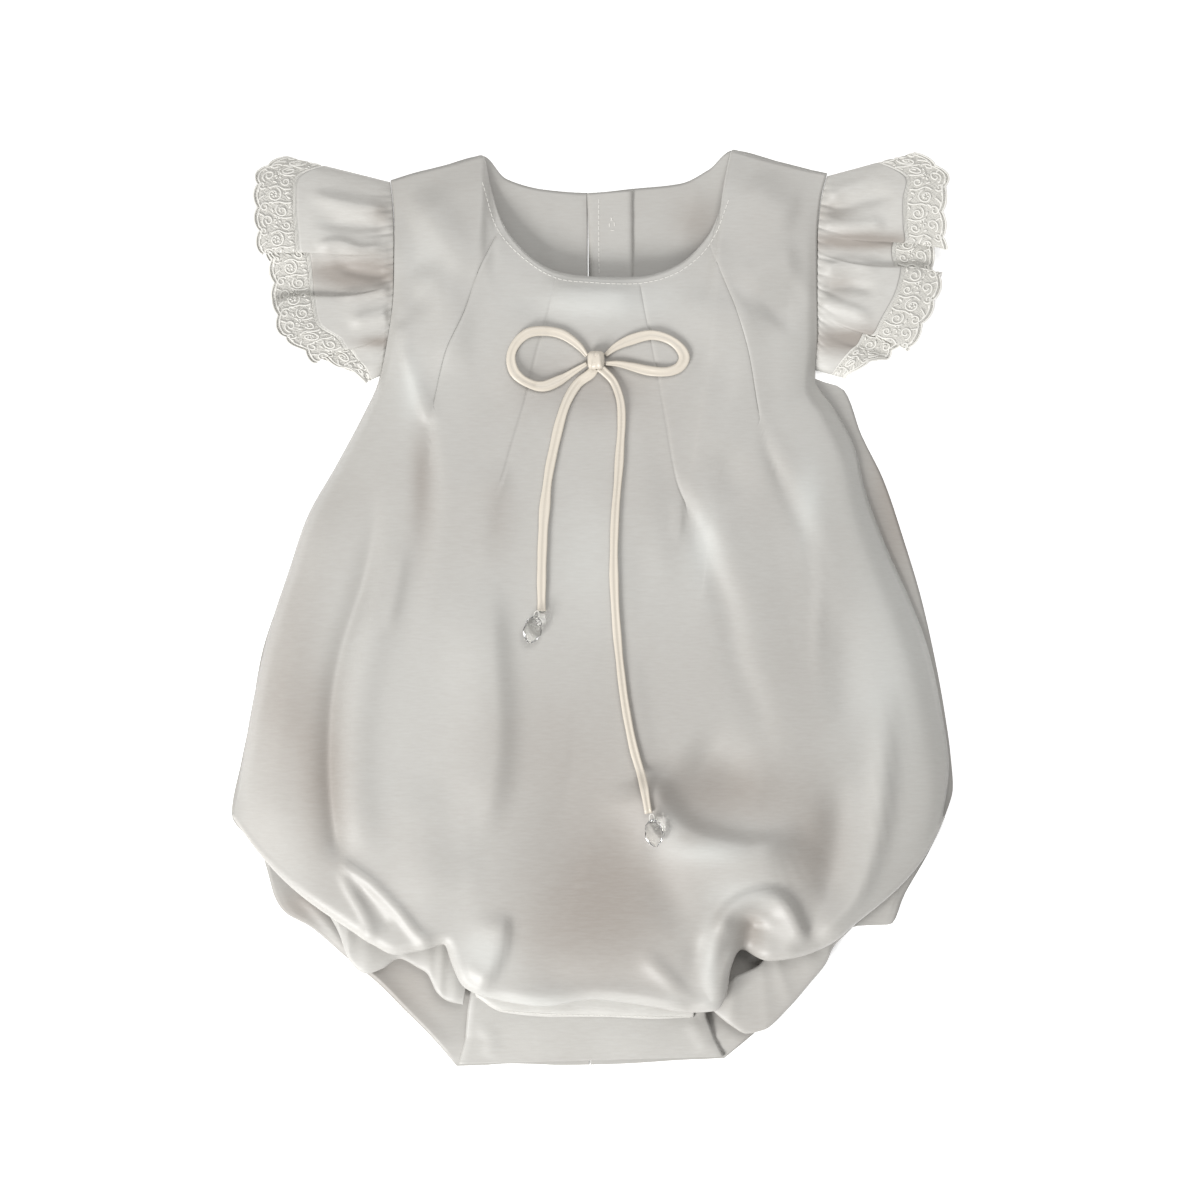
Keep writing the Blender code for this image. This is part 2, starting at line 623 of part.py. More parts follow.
def sleeve_ring(rows):
    # The fold lines with smooth steps between them, all round
    table = np.array(rows, dtype=float)
    n = len(table)
    found = []
    for i in range(n):
        p0, p1, p2, p3 = table[i - 1], table[i], table[(i + 1) % n], table[(i + 2) % n]
        steps = max(2, round(abs(p2[0] - p1[0]) / GATHER_SAMPLE)) if i < FRONT_FOLD_ROWS - 1 else 2
        for k in range(steps):
            s = k / steps
            found.append(
                0.5 * (2 * p1 + (p2 - p0) * s + (2 * p0 - 5 * p1 + 4 * p2 - p3) * s ** 2
                       + (3 * p1 - p0 - 3 * p2 + p3) * s ** 3))
    return np.array(found)


def build_sleeve(side, rows, outward, satin, lace):
    # Gathered satin ruffle and the lace sewn to its edge
    ring = sleeve_ring(rows)
    n = len(ring)
    top, bottom = rows[0][0], rows[FRONT_FOLD_ROWS - 1][0]
    grid = np.zeros((n, SLEEVE_STEPS + LACE_STEPS + 2, 3))
    for i, row in enumerate(ring):
        seam = np.array((armhole_x(side, row[0]) + outward * SEAM_GAP, row[0], max(row[1], 0.5)))
        edge = np.array((row[2], row[3], max(row[4], 0.5)))
        length = float(np.linalg.norm(edge[0:2] - seam[0:2]))
        lace_share = min(LACE_WIDTH / length, 0.45)
        satin_end = 1.0 - lace_share
        split = LACE_GAP / length
        share_down = (top - row[0]) / (top - bottom)
        calm = min(max((seam[2] - 2.0) / 2.0, 0.0), 1.0)
        wave = sin(2 * pi * GATHERS_FRONT * share_down) * calm
        scallop = SCALLOP_DEPTH * abs(sin(pi * SCALLOPS * i / n))
        shares = [satin_end * (k / SLEEVE_STEPS) ** 1.3 for k in range(SLEEVE_STEPS + 1)]
        shares += [satin_end + split + (lace_share - split) * k / LACE_STEPS for k in range(LACE_STEPS + 1)]
        shares[-1] -= scallop / length
        for j, share in enumerate(shares):
            point = seam + (edge - seam) * share
            point[2] = seam[2] + (edge[2] - seam[2]) * share ** 0.75
            fade = max(0.0, 1.0 - share / 0.5) * min(1.0, share / 0.06)
            point[2] += GATHER_HEIGHT * wave * fade
            grid[i, j] = point
    normals = grid_normals(grid, ring=True)
    for i in range(n):
        normals[i, SLEEVE_STEPS + 1] = normals[i, SLEEVE_STEPS]
        if grid[i, 0, 2] > 2.2 or grid[i, 0, 2] < 0.7:
            up = 1.0 if normals[i, 0, 2] > 0 else -1.0
            normals[i, 0] = (0.0, 0.0, up)
    low = grid[:, :, 2] < 0.56
    normals[low] = np.where(normals[low][:, 2:3] > 0, 1.0, -1.0) * np.array((0.0, 0.0, 1.0))
    cut = SLEEVE_STEPS + 1
    wall("sleeve_" + side, grid[:, :cut], normals[:, :cut], SLEEVE_CLOTH, satin, ring=True)
    wall("lace_" + side, grid[:, cut:], normals[:, cut:], SLEEVE_CLOTH, lace, ring=True)


def build_casing(name, rows, look):
    # Strip of cloth over elastic, gathered along its length
    keyed = [(float(k), *row) for k, row in enumerate(rows)]
    keys = between(keyed, 3)
    grid = np.zeros((len(keys), 4, 3))
    for i, key in enumerate(keys):
        row = interpolate(keyed, key)
        inner, outer = row[0:2], row[2:4]
        wave = CASING_GATHER * sin(2 * pi * key * 1.1)
        for j in range(4):
            share = j / 3
            xy = inner + (outer - inner) * share
            grid[i, j] = (xy[0], xy[1], row[4] + wave * (0.3 + 0.7 * sin(pi * share)))
    return wall(name, grid, flat_normals(grid), CASING_CLOTH, look)


def band_height(y):
    # Height of the middle of the crotch band at a distance along the garment
    rows = sorted((row[2] * 0.5 + row[4] * 0.5, row[5]) for row in CROTCH_BAND)
    return float(straight(rows, y)[0])


def build_band(look):
    keys = between(CROTCH_BAND, 2)
    grid = np.zeros((9, len(keys), 3))
    for j, key in enumerate(keys):
        row = straight(CROTCH_BAND, key)
        for i in range(9):
            share = i / 8
            x = row[0] + (row[2] - row[0]) * share
            y = row[1] + (row[3] - row[1]) * share
            grid[i, j] = (x, y, band_height(y))
    return wall("crotch_band", grid, flat_normals(grid), BODY_CLOTH, look)


def build_binding(look):
    keys = between(BINDING, 2)
    grid = np.zeros((len(keys), 3, 3))
    lift = BODY_CLOTH / 2 + LAYER_GAP + BINDING_CLOTH / 2
    for i, key in enumerate(keys):
        row = interpolate(BINDING, key)
        for j in range(3):
            share = j / 2
            x = row[0] + (row[2] - row[0]) * share
            y = row[1] + (row[3] - row[1]) * share
            grid[i, j] = (x, y, band_height(y) + lift + 0.1)
    return wall("crotch_binding", grid, flat_normals(grid), BINDING_CLOTH, look)


def build_placket(look):
    keys = between(PLACKET, 3)
    grid = np.zeros((4, len(keys), 3))
    for j, key in enumerate(keys):
        row = straight(PLACKET, key)
        for i in range(4):
            share = i / 3
            x = row[0] + (row[2] - row[0]) * share
            y = row[1] + (row[3] - row[1]) * share
            grid[i, j] = (x, y, FRONT_EDGE_MID)
    return wall("back_placket", grid, flat_normals(grid), BODY_CLOTH, look)


def top_under(tree, x, y, radius):
    # Highest point of the front within a radius of a point
    best = 0.0
    for k in range(9):
        angle = 2 * pi * k / 8
        reach = radius if k < 8 else 0.0
        origin = Vector(((x + reach * cos(angle)) * MM, (y + reach * sin(angle)) * MM, 1.0))
        hit = tree.ray_cast(origin, Vector((0.0, 0.0, -1.0)))
        if hit[0] is not None:
            best = max(best, hit[0].z / MM)
    return best


def build_strap(name, rows, tree, look, sides=8, lifts=None):
    # Flat tube of folded satin laid along a line on the front
    keyed = [(float(k), *row) for k, row in enumerate(rows)]
    keys = between(keyed, 2)
    centres = []
    for key in keys:
        row = interpolate(keyed, key)
        share = row[2] if len(row) > 2 else 1.0
        lift = LAYER_GAP + STRAP_THICK / 2 + 0.15
        z = top_under(tree, row[0], row[1], STRAP_WIDTH * 0.55) + lift
        centres.append((row[0], row[1], z, share))
    points = []
    faces = []
    count = len(centres)
    for i, (x, y, z, share) in enumerate(centres):
        before = centres[max(i - 1, 0)]
        after = centres[min(i + 1, count - 1)]
        along = Vector((after[0] - before[0], after[1] - before[1], 0.0)).normalized()
        aside = Vector((-along.y, along.x, 0.0))
        for k in range(sides):
            angle = 2 * pi * (k + 0.5) / sides
            across = cos(angle) * STRAP_WIDTH / 2 * share / cos(pi / sides)
            rise = sin(angle) * STRAP_THICK / 2 / cos(pi / sides)
            points.append((x + aside.x * across, y + aside.y * across, z + rise))
    for i in range(count - 1):
        for k in range(sides):
            n = (k + 1) % sides
            a, b = i * sides + k, i * sides + n
            faces.append((a, b, b + sides, a + sides))
    faces.append(tuple(reversed(range(sides))))
    faces.append(tuple((count - 1) * sides + k for k in range(sides)))
    return add_object(name, points, faces, look)


def build_knot(tree, look):
    # Strap wound once round the middle of the bow
    x0, y0 = BOW_CENTRE
    low = top_under(tree, x0, y0, 5.0) + LAYER_GAP + 0.1
    rings, sides = 7, 12
    points = []
    faces = []
    for r in range(1, rings):
        tilt = pi * r / rings
        for k in range(sides):
            turn = 2 * pi * k / sides
            cx, cy = cos(turn), sin(turn)
            square = (abs(cx) ** 4 + abs(cy) ** 4) ** 0.25
            wide = sin(tilt) ** 0.6
            points.append((
                x0 + KNOT_SIZE[0] / 2 * wide * cx / square,
                y0 + KNOT_SIZE[1] / 2 * wide * cy / square,
                low + KNOT_SIZE[2] / 2 * (1 - cos(tilt))))
    for r in range(rings - 2):
        for k in range(sides):
            n = (k + 1) % sides
            faces.append((r * sides + k, r * sides + n, (r + 1) * sides + n, (r + 1) * sides + k))
    faces.append(tuple(range(sides)))
    faces.append(tuple(reversed(range((rings - 2) * sides, (rings - 1) * sides))))
    return add_object("bow_knot", points, faces, look)


def build_bead(name, row, tree, look):
    # Faceted crystal drop at the end of a tail
    x0, y0, turn = row
    low = top_under(tree, x0, y0, BEAD_WIDTH * 0.55) + LAYER_GAP + 0.1
    sides = 8
    profile = [(-0.5, 0.30), (-0.30, 0.86), (0.0, 1.0), (0.30, 0.86), (0.5, 0.30)]
    angle = turn * pi / 180
    points = []
    faces = []
    for along, share in profile:
        for k in range(sides):
            side = 2 * pi * (k + 0.5) / sides
            across = cos(side) * BEAD_WIDTH / 2 * share
            rise = sin(side) * BEAD_THICK / 2 * share
            length = along * BEAD_LENGTH
            x = x0 + across * cos(angle) + length * sin(angle)
            y = y0 + across * sin(angle) * -1.0 + length * cos(angle)
            points.append((x, y, low + BEAD_THICK / 2 + rise))
    for r in range(len(profile) - 1):
        for k in range(sides):
            n = (k + 1) % sides
            faces.append((r * sides + k, r * sides + n, (r + 1) * sides + n, (r + 1) * sides + k))
    faces.append(tuple(range(sides)))
    last = (len(profile) - 1) * sides
    faces.append(tuple(reversed(range(last, last + sides))))
    return add_object(name, points, faces, look, smooth=False)


def front_tree(front):
    mesh = front.data
    points = [v.co.copy() for v in mesh.vertices]
    return BVHTree.FromPolygons(points, [tuple(p.vertices) for p in mesh.polygons])


def main():
    for old in list(bpy.data.objects):
        bpy.data.objects.remove(old, do_unlink=True)
    front = build_front(material("front satin", (0.66, 0.64, 0.59), 0.34))
    build_back("back_left_panel", 0.0, BACK_SPLIT, material("back left satin", (0.60, 0.58, 0.54), 0.45))
    build_back("back_right_panel", BACK_SPLIT, 1.0, material("back right satin", (0.60, 0.58, 0.54), 0.45))
    build_placket(material("placket satin", (0.64, 0.62, 0.57), 0.42))
    build_band(material("crotch band satin", (0.64, 0.63, 0.59), 0.45))
    build_binding(material("binding satin", (0.80, 0.80, 0.77), 0.40))
    build_casing("leg_casing_left", LEFT_CASING, material("left casing satin", (0.64, 0.62, 0.58), 0.42))
    build_casing("leg_casing_right", RIGHT_CASING, material("right casing satin", (0.64, 0.62, 0.58), 0.42))
    left_satin = material("left sleeve satin", (0.66, 0.64, 0.60), 0.40)
    left_lace = material("left lace cotton", (0.78, 0.77, 0.73), 0.75)
    build_sleeve("left", LEFT_SLEEVE, -1.0, left_satin, left_lace)
    right_satin = material("right sleeve satin", (0.66, 0.64, 0.60), 0.40)
    right_lace = material("right lace cotton", (0.78, 0.77, 0.73), 0.75)
    build_sleeve("right", RIGHT_SLEEVE, 1.0, right_satin, right_lace)
    tree = front_tree(front)
    build_strap("bow_loop_left", LEFT_LOOP, tree, material("left loop satin", (0.78, 0.73, 0.64), 0.36))
    build_strap("bow_loop_right", RIGHT_LOOP, tree, material("right loop satin", (0.78, 0.73, 0.64), 0.36))
    build_knot(tree, material("knot satin", (0.78, 0.73, 0.64), 0.36))
    build_strap("tail_left", LEFT_TAIL, tree, material("left tail satin", (0.78, 0.73, 0.64), 0.36))
    build_strap("tail_right", RIGHT_TAIL, tree, material("right tail satin", (0.78, 0.73, 0.64), 0.36))
    build_bead("bead_left", LEFT_BEAD, tree, material("left bead crystal", (0.92, 0.92, 0.90), 0.05, 0.9))
    build_bead("bead_right", RIGHT_BEAD, tree, material("right bead crystal", (0.92, 0.92, 0.90), 0.05, 0.9))


main()
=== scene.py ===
# Looks of a satin baby romper laid flat: thin cloth, stitched tucks, gathered sleeves, lace, bow and drops
from math import cos, pi, sin

import bmesh
import bpy
import numpy as np
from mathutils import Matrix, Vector
from mathutils.bvhtree import BVHTree


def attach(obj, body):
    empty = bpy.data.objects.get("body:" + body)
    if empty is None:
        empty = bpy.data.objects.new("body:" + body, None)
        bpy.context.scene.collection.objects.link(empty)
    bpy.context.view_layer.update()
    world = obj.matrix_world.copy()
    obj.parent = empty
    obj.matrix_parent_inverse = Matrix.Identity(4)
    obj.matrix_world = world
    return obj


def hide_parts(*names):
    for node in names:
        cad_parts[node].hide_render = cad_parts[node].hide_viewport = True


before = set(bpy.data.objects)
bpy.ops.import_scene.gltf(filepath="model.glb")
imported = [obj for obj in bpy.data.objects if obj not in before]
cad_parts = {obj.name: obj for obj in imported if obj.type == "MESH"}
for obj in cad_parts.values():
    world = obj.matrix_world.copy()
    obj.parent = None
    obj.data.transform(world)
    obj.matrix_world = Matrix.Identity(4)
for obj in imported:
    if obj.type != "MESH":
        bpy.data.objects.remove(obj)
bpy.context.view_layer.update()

bl_info = {
    "name": "Satin baby romper",
    "version": (1, 0, 0),
    "blender": (4, 5, 0),
    "location": "View3D > Sidebar > Romper",
    "description": "Dresses the packed romper in satin, lace, a strap bow and crystal drops",
    "category": "Object",
}

# Every table is in millimetres, seen from above: x to the right, y towards the neck, z up from the surface
MM = 0.001
PHOTO_SIDE = 1200
MM_PER_PIXEL = 0.45
PHOTO_CENTRE = (3.4, 2.5)
CAMERA_HEIGHT = 1.7
SENSOR = 36.0
ROOM_LIGHT = 0.38
# The white floor is lit through from below, as a light table is, so that its shadows stay pale
FLOOR_GLOW = 0.45
FLOOR_HALF = 3.0
LIGHTS = [
    # name, place in metres, width in metres, power in watts
    ("window light", (-0.95, -1.10, 0.95), 0.7, 36.0),
    ("ceiling light", (0.25, 0.70, 1.20), 0.8, 9.0),
]

# Sizes of the construction, as in the solids
BODY_CLOTH = 1.2
SEAM_GAP = 0.45
LAYER_GAP = 0.3
TRIM_GAP = 0.1
FRONT_EDGE_MID = 2.1
LACE_WIDTH = 19.0
STRAP_THICK = 1.8
BEAD_WIDTH = 8.4
BEAD_LENGTH = 12.2
BEAD_THICK = 6.5
BINDING_PUFF = 1.3
# How far the lower edge turns in, share of the front's side at which the armhole ends, and the share at
# which the back is split
TUCK_IN = 4.0
UNDERARM = 0.32
BACK_SPLIT = 0.48
# Thickness of the sleeve as shown and lowest height of its middle
SLEEVE_SHELL = 0.55
UNDERSIDE = 0.5
# Points each way in the front's even grid, steps round its lower edge, the row that tells its upper side,
# and points across and along one back half
FRONT_GRID = 160
LIP_STEPS = 10
CHECKED_ROW = 20
BACK_GRID = (90, 150)

# Front panel: across is 0 at the left side and 1 at the right side, top is the shoulder and neck edge,
# bottom is the puffed lower edge
FRONT_COLUMNS = [
    # across, top x, top y, bottom x, bottom y
    (0.00, -91.1, 191.9, -163.1, -94.3),
    (0.05, -80.8, 195.1, -151.0, -110.5),
    (0.10, -70.0, 197.8, -139.7, -122.6),
    (0.14, -59.6, 200.5, -130.7, -130.3),
    (0.18, -50.0, 203.2, -120.8, -137.5),
    (0.22, -46.6, 190.6, -110.0, -144.7),
    (0.26, -43.4, 179.8, -98.8, -151.9),
    (0.31, -39.8, 170.8, -88.0, -156.6),
    (0.35, -33.1, 161.8, -77.2, -154.8),
    (0.385, -25.0, 154.6, -66.8, -151.9),
    (0.415, -16.0, 150.1, -63.2, -160.4),
    (0.445, -7.0, 148.3, -57.8, -170.8),
    (0.48, 2.0, 147.6, -43.4, -176.6),
    (0.52, 11.5, 147.4, -20.9, -179.6),
    (0.56, 21.4, 147.8, -0.2, -176.8),
    (0.60, 31.3, 150.1, 21.4, -178.9),
    (0.64, 41.2, 155.0, 43.0, -182.5),
    (0.68, 48.4, 161.8, 55.1, -181.6),
    (0.71, 53.3, 168.5, 60.1, -173.9),
    (0.74, 56.9, 177.1, 61.9, -163.1),
    (0.78, 60.8, 189.7, 66.8, -154.6),
    (0.82, 63.5, 205.7, 79.0, -159.5),
    (0.86, 72.7, 203.2, 92.5, -157.7),
    (0.90, 82.6, 200.5, 105.5, -152.8),
    (0.93, 89.8, 198.7, 118.6, -142.4),
    (0.96, 97.0, 196.9, 136.6, -128.0),
    (0.98, 101.5, 196.0, 150.1, -112.7),
    (1.00, 106.0, 195.1, 159.1, -95.6),
]
# Front panel sides: down is 0 at the shoulder and 1 at the lower corners
FRONT_SIDES = [
    # down, left x, left y, right x, right y
    (0.00, -91.1, 191.9, 106.0, 195.1),
    (0.05, -89.8, 179.8, 102.8, 182.9),
    (0.11, -89.1, 162.2, 101.0, 164.5),
    (0.18, -89.3, 142.0, 100.8, 144.7),
    (0.25, -92.0, 119.5, 101.0, 124.0),
    (0.32, -96.5, 100.1, 100.1, 102.4),
    (0.37, -103.7, 84.8, 108.7, 89.3),
    (0.44, -115.4, 63.2, 118.6, 70.4),
    (0.52, -128.9, 39.4, 123.5, 51.5),
    (0.60, -137.0, 16.0, 133.4, 25.9),
    (0.69, -146.0, -11.0, 143.8, 3.4),
    (0.78, -153.2, -41.2, 152.3, -18.7),
    (0.86, -157.3, -62.8, 158.4, -45.2),
    (0.93, -160.4, -79.9, 162.2, -71.8),
    (1.00, -163.1, -94.3, 159.1, -95.6),
]
# The lower edge rolls under: height of its turned-in end and radius of the roll
LIP = [
    # across, turned end height, radius
    (0.00, 2.1, 1.1),
    (0.06, 5.4, 2.4),
    (0.12, 8.4, 4.0),
    (0.20, 9.3, 5.0),
    (0.80, 9.3, 5.0),
    (0.90, 9.2, 4.4),
    (0.94, 8.2, 3.2),
    (0.97, 5.4, 2.0),
    (1.00, 2.1, 1.1),
]
BACK_COLUMNS = [
    # across, top x, top y, bottom x, bottom y
    (0.00, -91.1, 191.9, -61.4, -208.1),
    (0.10, -70.4, 197.8, -49.3, -207.7),
    (0.20, -50.0, 203.2, -37.1, -207.0),
    (0.28, -38.9, 192.8, -27.2, -207.2),
    (0.38, -21.4, 187.9, -14.6, -207.7),
    (0.48, -2.0, 186.5, -1.1, -207.5),
    (0.58, 17.8, 188.3, 10.6, -207.2),
    (0.68, 39.4, 190.6, 22.3, -206.6),
    (0.76, 52.4, 196.9, 32.2, -205.9),
    (0.82, 63.5, 205.7, 39.4, -205.4),
    (0.91, 84.8, 200.5, 49.7, -205.0),
    (1.00, 106.0, 195.1, 59.6, -204.5),
]
BACK_SIDES = [
    # down, left x, left y, right x, right y
    (0.00, -91.1, 191.9, 106.0, 195.1),
    (0.05, -89.8, 179.8, 102.8, 182.9),
    (0.10, -89.1, 162.2, 101.0, 164.5),
    (0.15, -89.3, 142.0, 100.8, 144.7),
    (0.20, -92.0, 119.5, 101.0, 124.0),
    (0.24, -96.5, 100.1, 100.6, 103.3),
    (0.26, -100.1, 92.5, 113.2, 97.9),
    (0.30, -106.9, 79.0, 121.3, 77.6),
    (0.36, -116.8, 61.0, 131.6, 56.5),
    (0.43, -129.8, 37.6, 140.6, 29.9),
    (0.50, -138.8, 10.6, 148.3, 4.3),
    (0.57, -149.6, -22.3, 154.1, -20.9),
    (0.63, -154.1, -47.9, 158.6, -44.8),
    (0.69, -158.6, -70.0, 161.8, -67.3),
    (0.74, -163.1, -94.3, 162.9, -82.1),
    (0.78, -149.6, -111.8, 158.6, -97.0),
    (0.81, -143.3, -132.5, 151.7, -111.8),
    (0.84, -138.8, -138.8, 141.1, -130.3),
    (0.87, -127.6, -145.1, 134.3, -144.2),
    (0.90, -110.0, -160.0, 119.5, -144.7),
    (0.93, -97.4, -170.3, 105.1, -158.2),
    (0.96, -84.8, -182.9, 88.9, -177.5),
    (0.98, -72.2, -195.5, 73.6, -192.8),
    (1.00, -61.4, -208.1, 59.6, -204.5),
]
# Sleeves: one row for each fold line of the ruffle, round the armhole from the shoulder fold over the
# front to the underarm and back along the flat underside
LEFT_SLEEVE = [
    # seam y, seam z, edge x, edge y, edge z
    (191.0, 1.5, -138.4, 202.3, 6.5),
    (187.9, 3.0, -150.5, 194.6, 12.0),
    (178.0, 4.9, -151.9, 180.2, 14.2),
    (167.2, 6.3, -151.0, 165.4, 14.0),
    (160.9, 6.6, -150.1, 156.8, 12.6),
    (157.7, 6.6, -146.9, 160.0, 9.4),
    (153.7, 6.6, -145.6, 151.9, 6.8),
    (148.7, 6.6, -144.7, 142.0, 6.8),
    (145.1, 6.6, -144.2, 133.4, 6.8),
    (142.4, 6.6, -143.8, 135.7, 10.4),
    (135.7, 6.6, -140.6, 120.8, 12.8),
    (129.4, 6.6, -131.6, 114.1, 12.4),
    (124.9, 6.5, -125.3, 108.2, 11.0),
    (121.3, 6.2, -121.7, 110.9, 7.6),
    (115.9, 5.4, -114.5, 106.4, 7.6),
    (110.5, 4.4, -108.2, 105.1, 7.8),
    (104.6, 2.4, -102.8, 100.6, 4.4),
    (105.5, 0.5, -105.5, 104.2, 0.5),
    (117.2, 0.5, -130.7, 116.8, 0.5),
    (142.0, 0.5, -143.8, 142.0, 0.5),
    (166.7, 0.5, -148.7, 171.2, 0.5),
    (187.0, 0.5, -145.1, 195.1, 0.5),
]
RIGHT_SLEEVE = [
    # seam y, seam z, edge x, edge y, edge z
    (193.7, 1.5, 146.5, 204.1, 6.5),
    (191.0, 3.0, 159.5, 193.3, 12.0),
    (183.4, 4.7, 158.6, 180.7, 14.2),
    (174.8, 5.9, 158.6, 168.5, 13.8),
    (169.9, 6.4, 159.1, 159.1, 12.2),
    (166.7, 6.6, 155.0, 162.2, 9.2),
    (163.1, 6.6, 153.7, 155.9, 6.8),
    (159.5, 6.6, 155.0, 146.0, 6.8),
    (156.4, 6.6, 157.7, 148.3, 10.4),
    (147.4, 6.6, 154.6, 135.7, 12.8),
    (139.3, 6.6, 147.4, 121.3, 12.6),
    (133.9, 6.6, 142.9, 113.2, 11.2),
    (130.7, 6.6, 138.8, 116.3, 8.2),
    (126.7, 6.4, 133.9, 110.5, 6.8),
    (122.2, 6.2, 128.5, 109.6, 8.4),
    (115.9, 5.2, 121.3, 106.4, 8.8),
    (107.3, 2.4, 114.1, 102.8, 4.6),
    (109.1, 0.5, 115.9, 106.0, 0.5),
    (126.2, 0.5, 139.3, 121.3, 0.5),
    (151.0, 0.5, 151.9, 145.6, 0.5),
    (171.2, 0.5, 154.6, 172.6, 0.5),
    (189.7, 0.5, 149.6, 197.8, 0.5),
]
# Gathered elastic casings of the leg openings, from the side to the crotch
LEFT_CASING = [
    # inner x, inner y, outer x, outer y, height
    (-123.5, -125.3, -122.6, -133.9, 4.6),
    (-115.4, -130.7, -115.0, -146.0, 6.4),
    (-109.1, -134.8, -109.1, -160.4, 7.0),
    (-102.8, -138.4, -101.9, -165.8, 7.0),
    (-95.6, -142.0, -94.7, -163.6, 7.0),
    (-88.4, -144.7, -87.1, -159.1, 7.0),
    (-81.7, -144.7, -79.4, -162.7, 7.0),
    (-74.9, -142.9, -74.5, -165.8, 7.0),
    (-68.6, -143.8, -70.0, -174.4, 7.0),
    (-62.3, -152.8, -64.6, -178.4, 6.8),
    (-56.0, -165.8, -58.3, -179.8, 6.6),
]
RIGHT_CASING = [
    # inner x, inner y, outer x, outer y, height
    (119.5, -133.4, 121.3, -141.1, 4.2),
    (112.3, -137.5, 115.0, -147.4, 5.8),
    (104.2, -141.1, 108.7, -153.7, 6.8),
    (96.1, -145.1, 105.1, -161.3, 7.0),
    (88.0, -150.1, 97.4, -170.8, 7.0),
    (80.8, -155.5, 88.9, -180.7, 7.0),
    (74.5, -162.2, 77.6, -191.0, 7.0),
    (69.1, -164.9, 69.5, -192.8, 7.0),
    (64.1, -167.2, 63.2, -189.7, 7.0),
    (59.6, -170.8, 58.3, -186.1, 6.8),
    (55.1, -173.0, 54.2, -182.5, 6.6),
]
# Crotch band in front, from under the puffed edge down to the fold, and the bright binding on it
CROTCH_BAND = [
    # down, left x, left y, right x, right y, height
    (0.0, -53.8, -162.2, 49.7, -167.6, 6.2),
    (0.3, -54.7, -173.9, 50.6, -178.4, 5.2),
    (0.5, -56.2, -182.0, 51.5, -185.6, 4.0),
    (0.8, -57.4, -195.5, 55.1, -195.5, 2.6),
    (1.0, -60.5, -207.2, 59.2, -203.6, 2.1),
]
BINDING = [
    # across, upper x, upper y, lower x, lower y
    (0.0, -53.8, -170.8, -52.4, -176.2),
    (0.2, -39.4, -173.9, -40.3, -183.4),
    (0.4, -16.4, -174.4, -16.4, -185.6),
    (0.6, 5.6, -173.0, 5.6, -185.6),
    (0.8, 26.8, -173.9, 27.7, -186.5),
    (1.0, 45.7, -175.7, 45.7, -185.6),
]
PLACKET = [
    # down, left x, left y, right x, right y
    (0.0, -2.5, 186.1, 18.2, 187.7),
    (0.5, -1.1, 146.5, 18.4, 147.4),
    (1.0, -1.1, 38.5, 18.7, 38.5),
]
LEFT_LOOP = [
    # x, y, width share
    (-2.5, 112.0, 0.42),
    (-6.5, 116.8, 0.75),
    (-13.3, 121.5, 1.0),
    (-20.9, 123.1, 1.0),
    (-28.6, 122.2, 1.0),
    (-34.0, 117.7, 1.0),
    (-36.5, 111.4, 1.0),
    (-34.9, 104.6, 1.0),
    (-29.5, 100.1, 1.0),
    (-22.3, 98.3, 1.0),
    (-14.6, 101.2, 1.0),
    (-7.9, 105.3, 0.75),
    (-2.5, 108.5, 0.42),
]
RIGHT_LOOP = [
    # x, y, width share
    (5.9, 112.3, 0.42),
    (10.6, 116.1, 0.75),
    (17.3, 119.2, 1.0),
    (25.9, 121.3, 1.0),
    (33.5, 119.7, 1.0),
    (38.9, 115.9, 1.0),
    (41.2, 111.2, 1.0),
    (38.9, 106.9, 1.0),
    (33.5, 104.9, 1.0),
    (25.9, 105.3, 1.0),
    (18.2, 107.1, 0.9),
    (11.5, 108.5, 0.7),
    (5.9, 108.7, 0.42),
]
LEFT_TAIL = [
    # x, y
    (-0.9, 104.0),
    (-6.5, 99.7),
    (-11.0, 92.5),
    (-14.2, 83.5),
    (-16.9, 72.2),
    (-19.6, 58.7),
    (-21.4, 43.0),
    (-22.3, 27.2),
    (-22.7, 11.5),
    (-22.7, -2.5),
]
RIGHT_TAIL = [
    # x, y
    (5.4, 104.9),
    (9.7, 100.1),
    (12.6, 91.6),
    (13.1, 81.7),
    (12.4, 70.0),
    (11.5, 56.5),
    (10.3, 42.1),
    (9.7, 27.2),
    (9.7, 11.5),
    (10.6, -6.5),
    (12.2, -24.5),
    (14.6, -43.9),
    (18.2, -62.8),
    (22.3, -77.6),
    (25.0, -92.5),
]

# Lines that the grid of the front follows: the lap at the left and the four stitched tucks with their
# released folds
GUIDE_KEYS = (0.10, 0.31, 0.415, 0.56, 0.71)
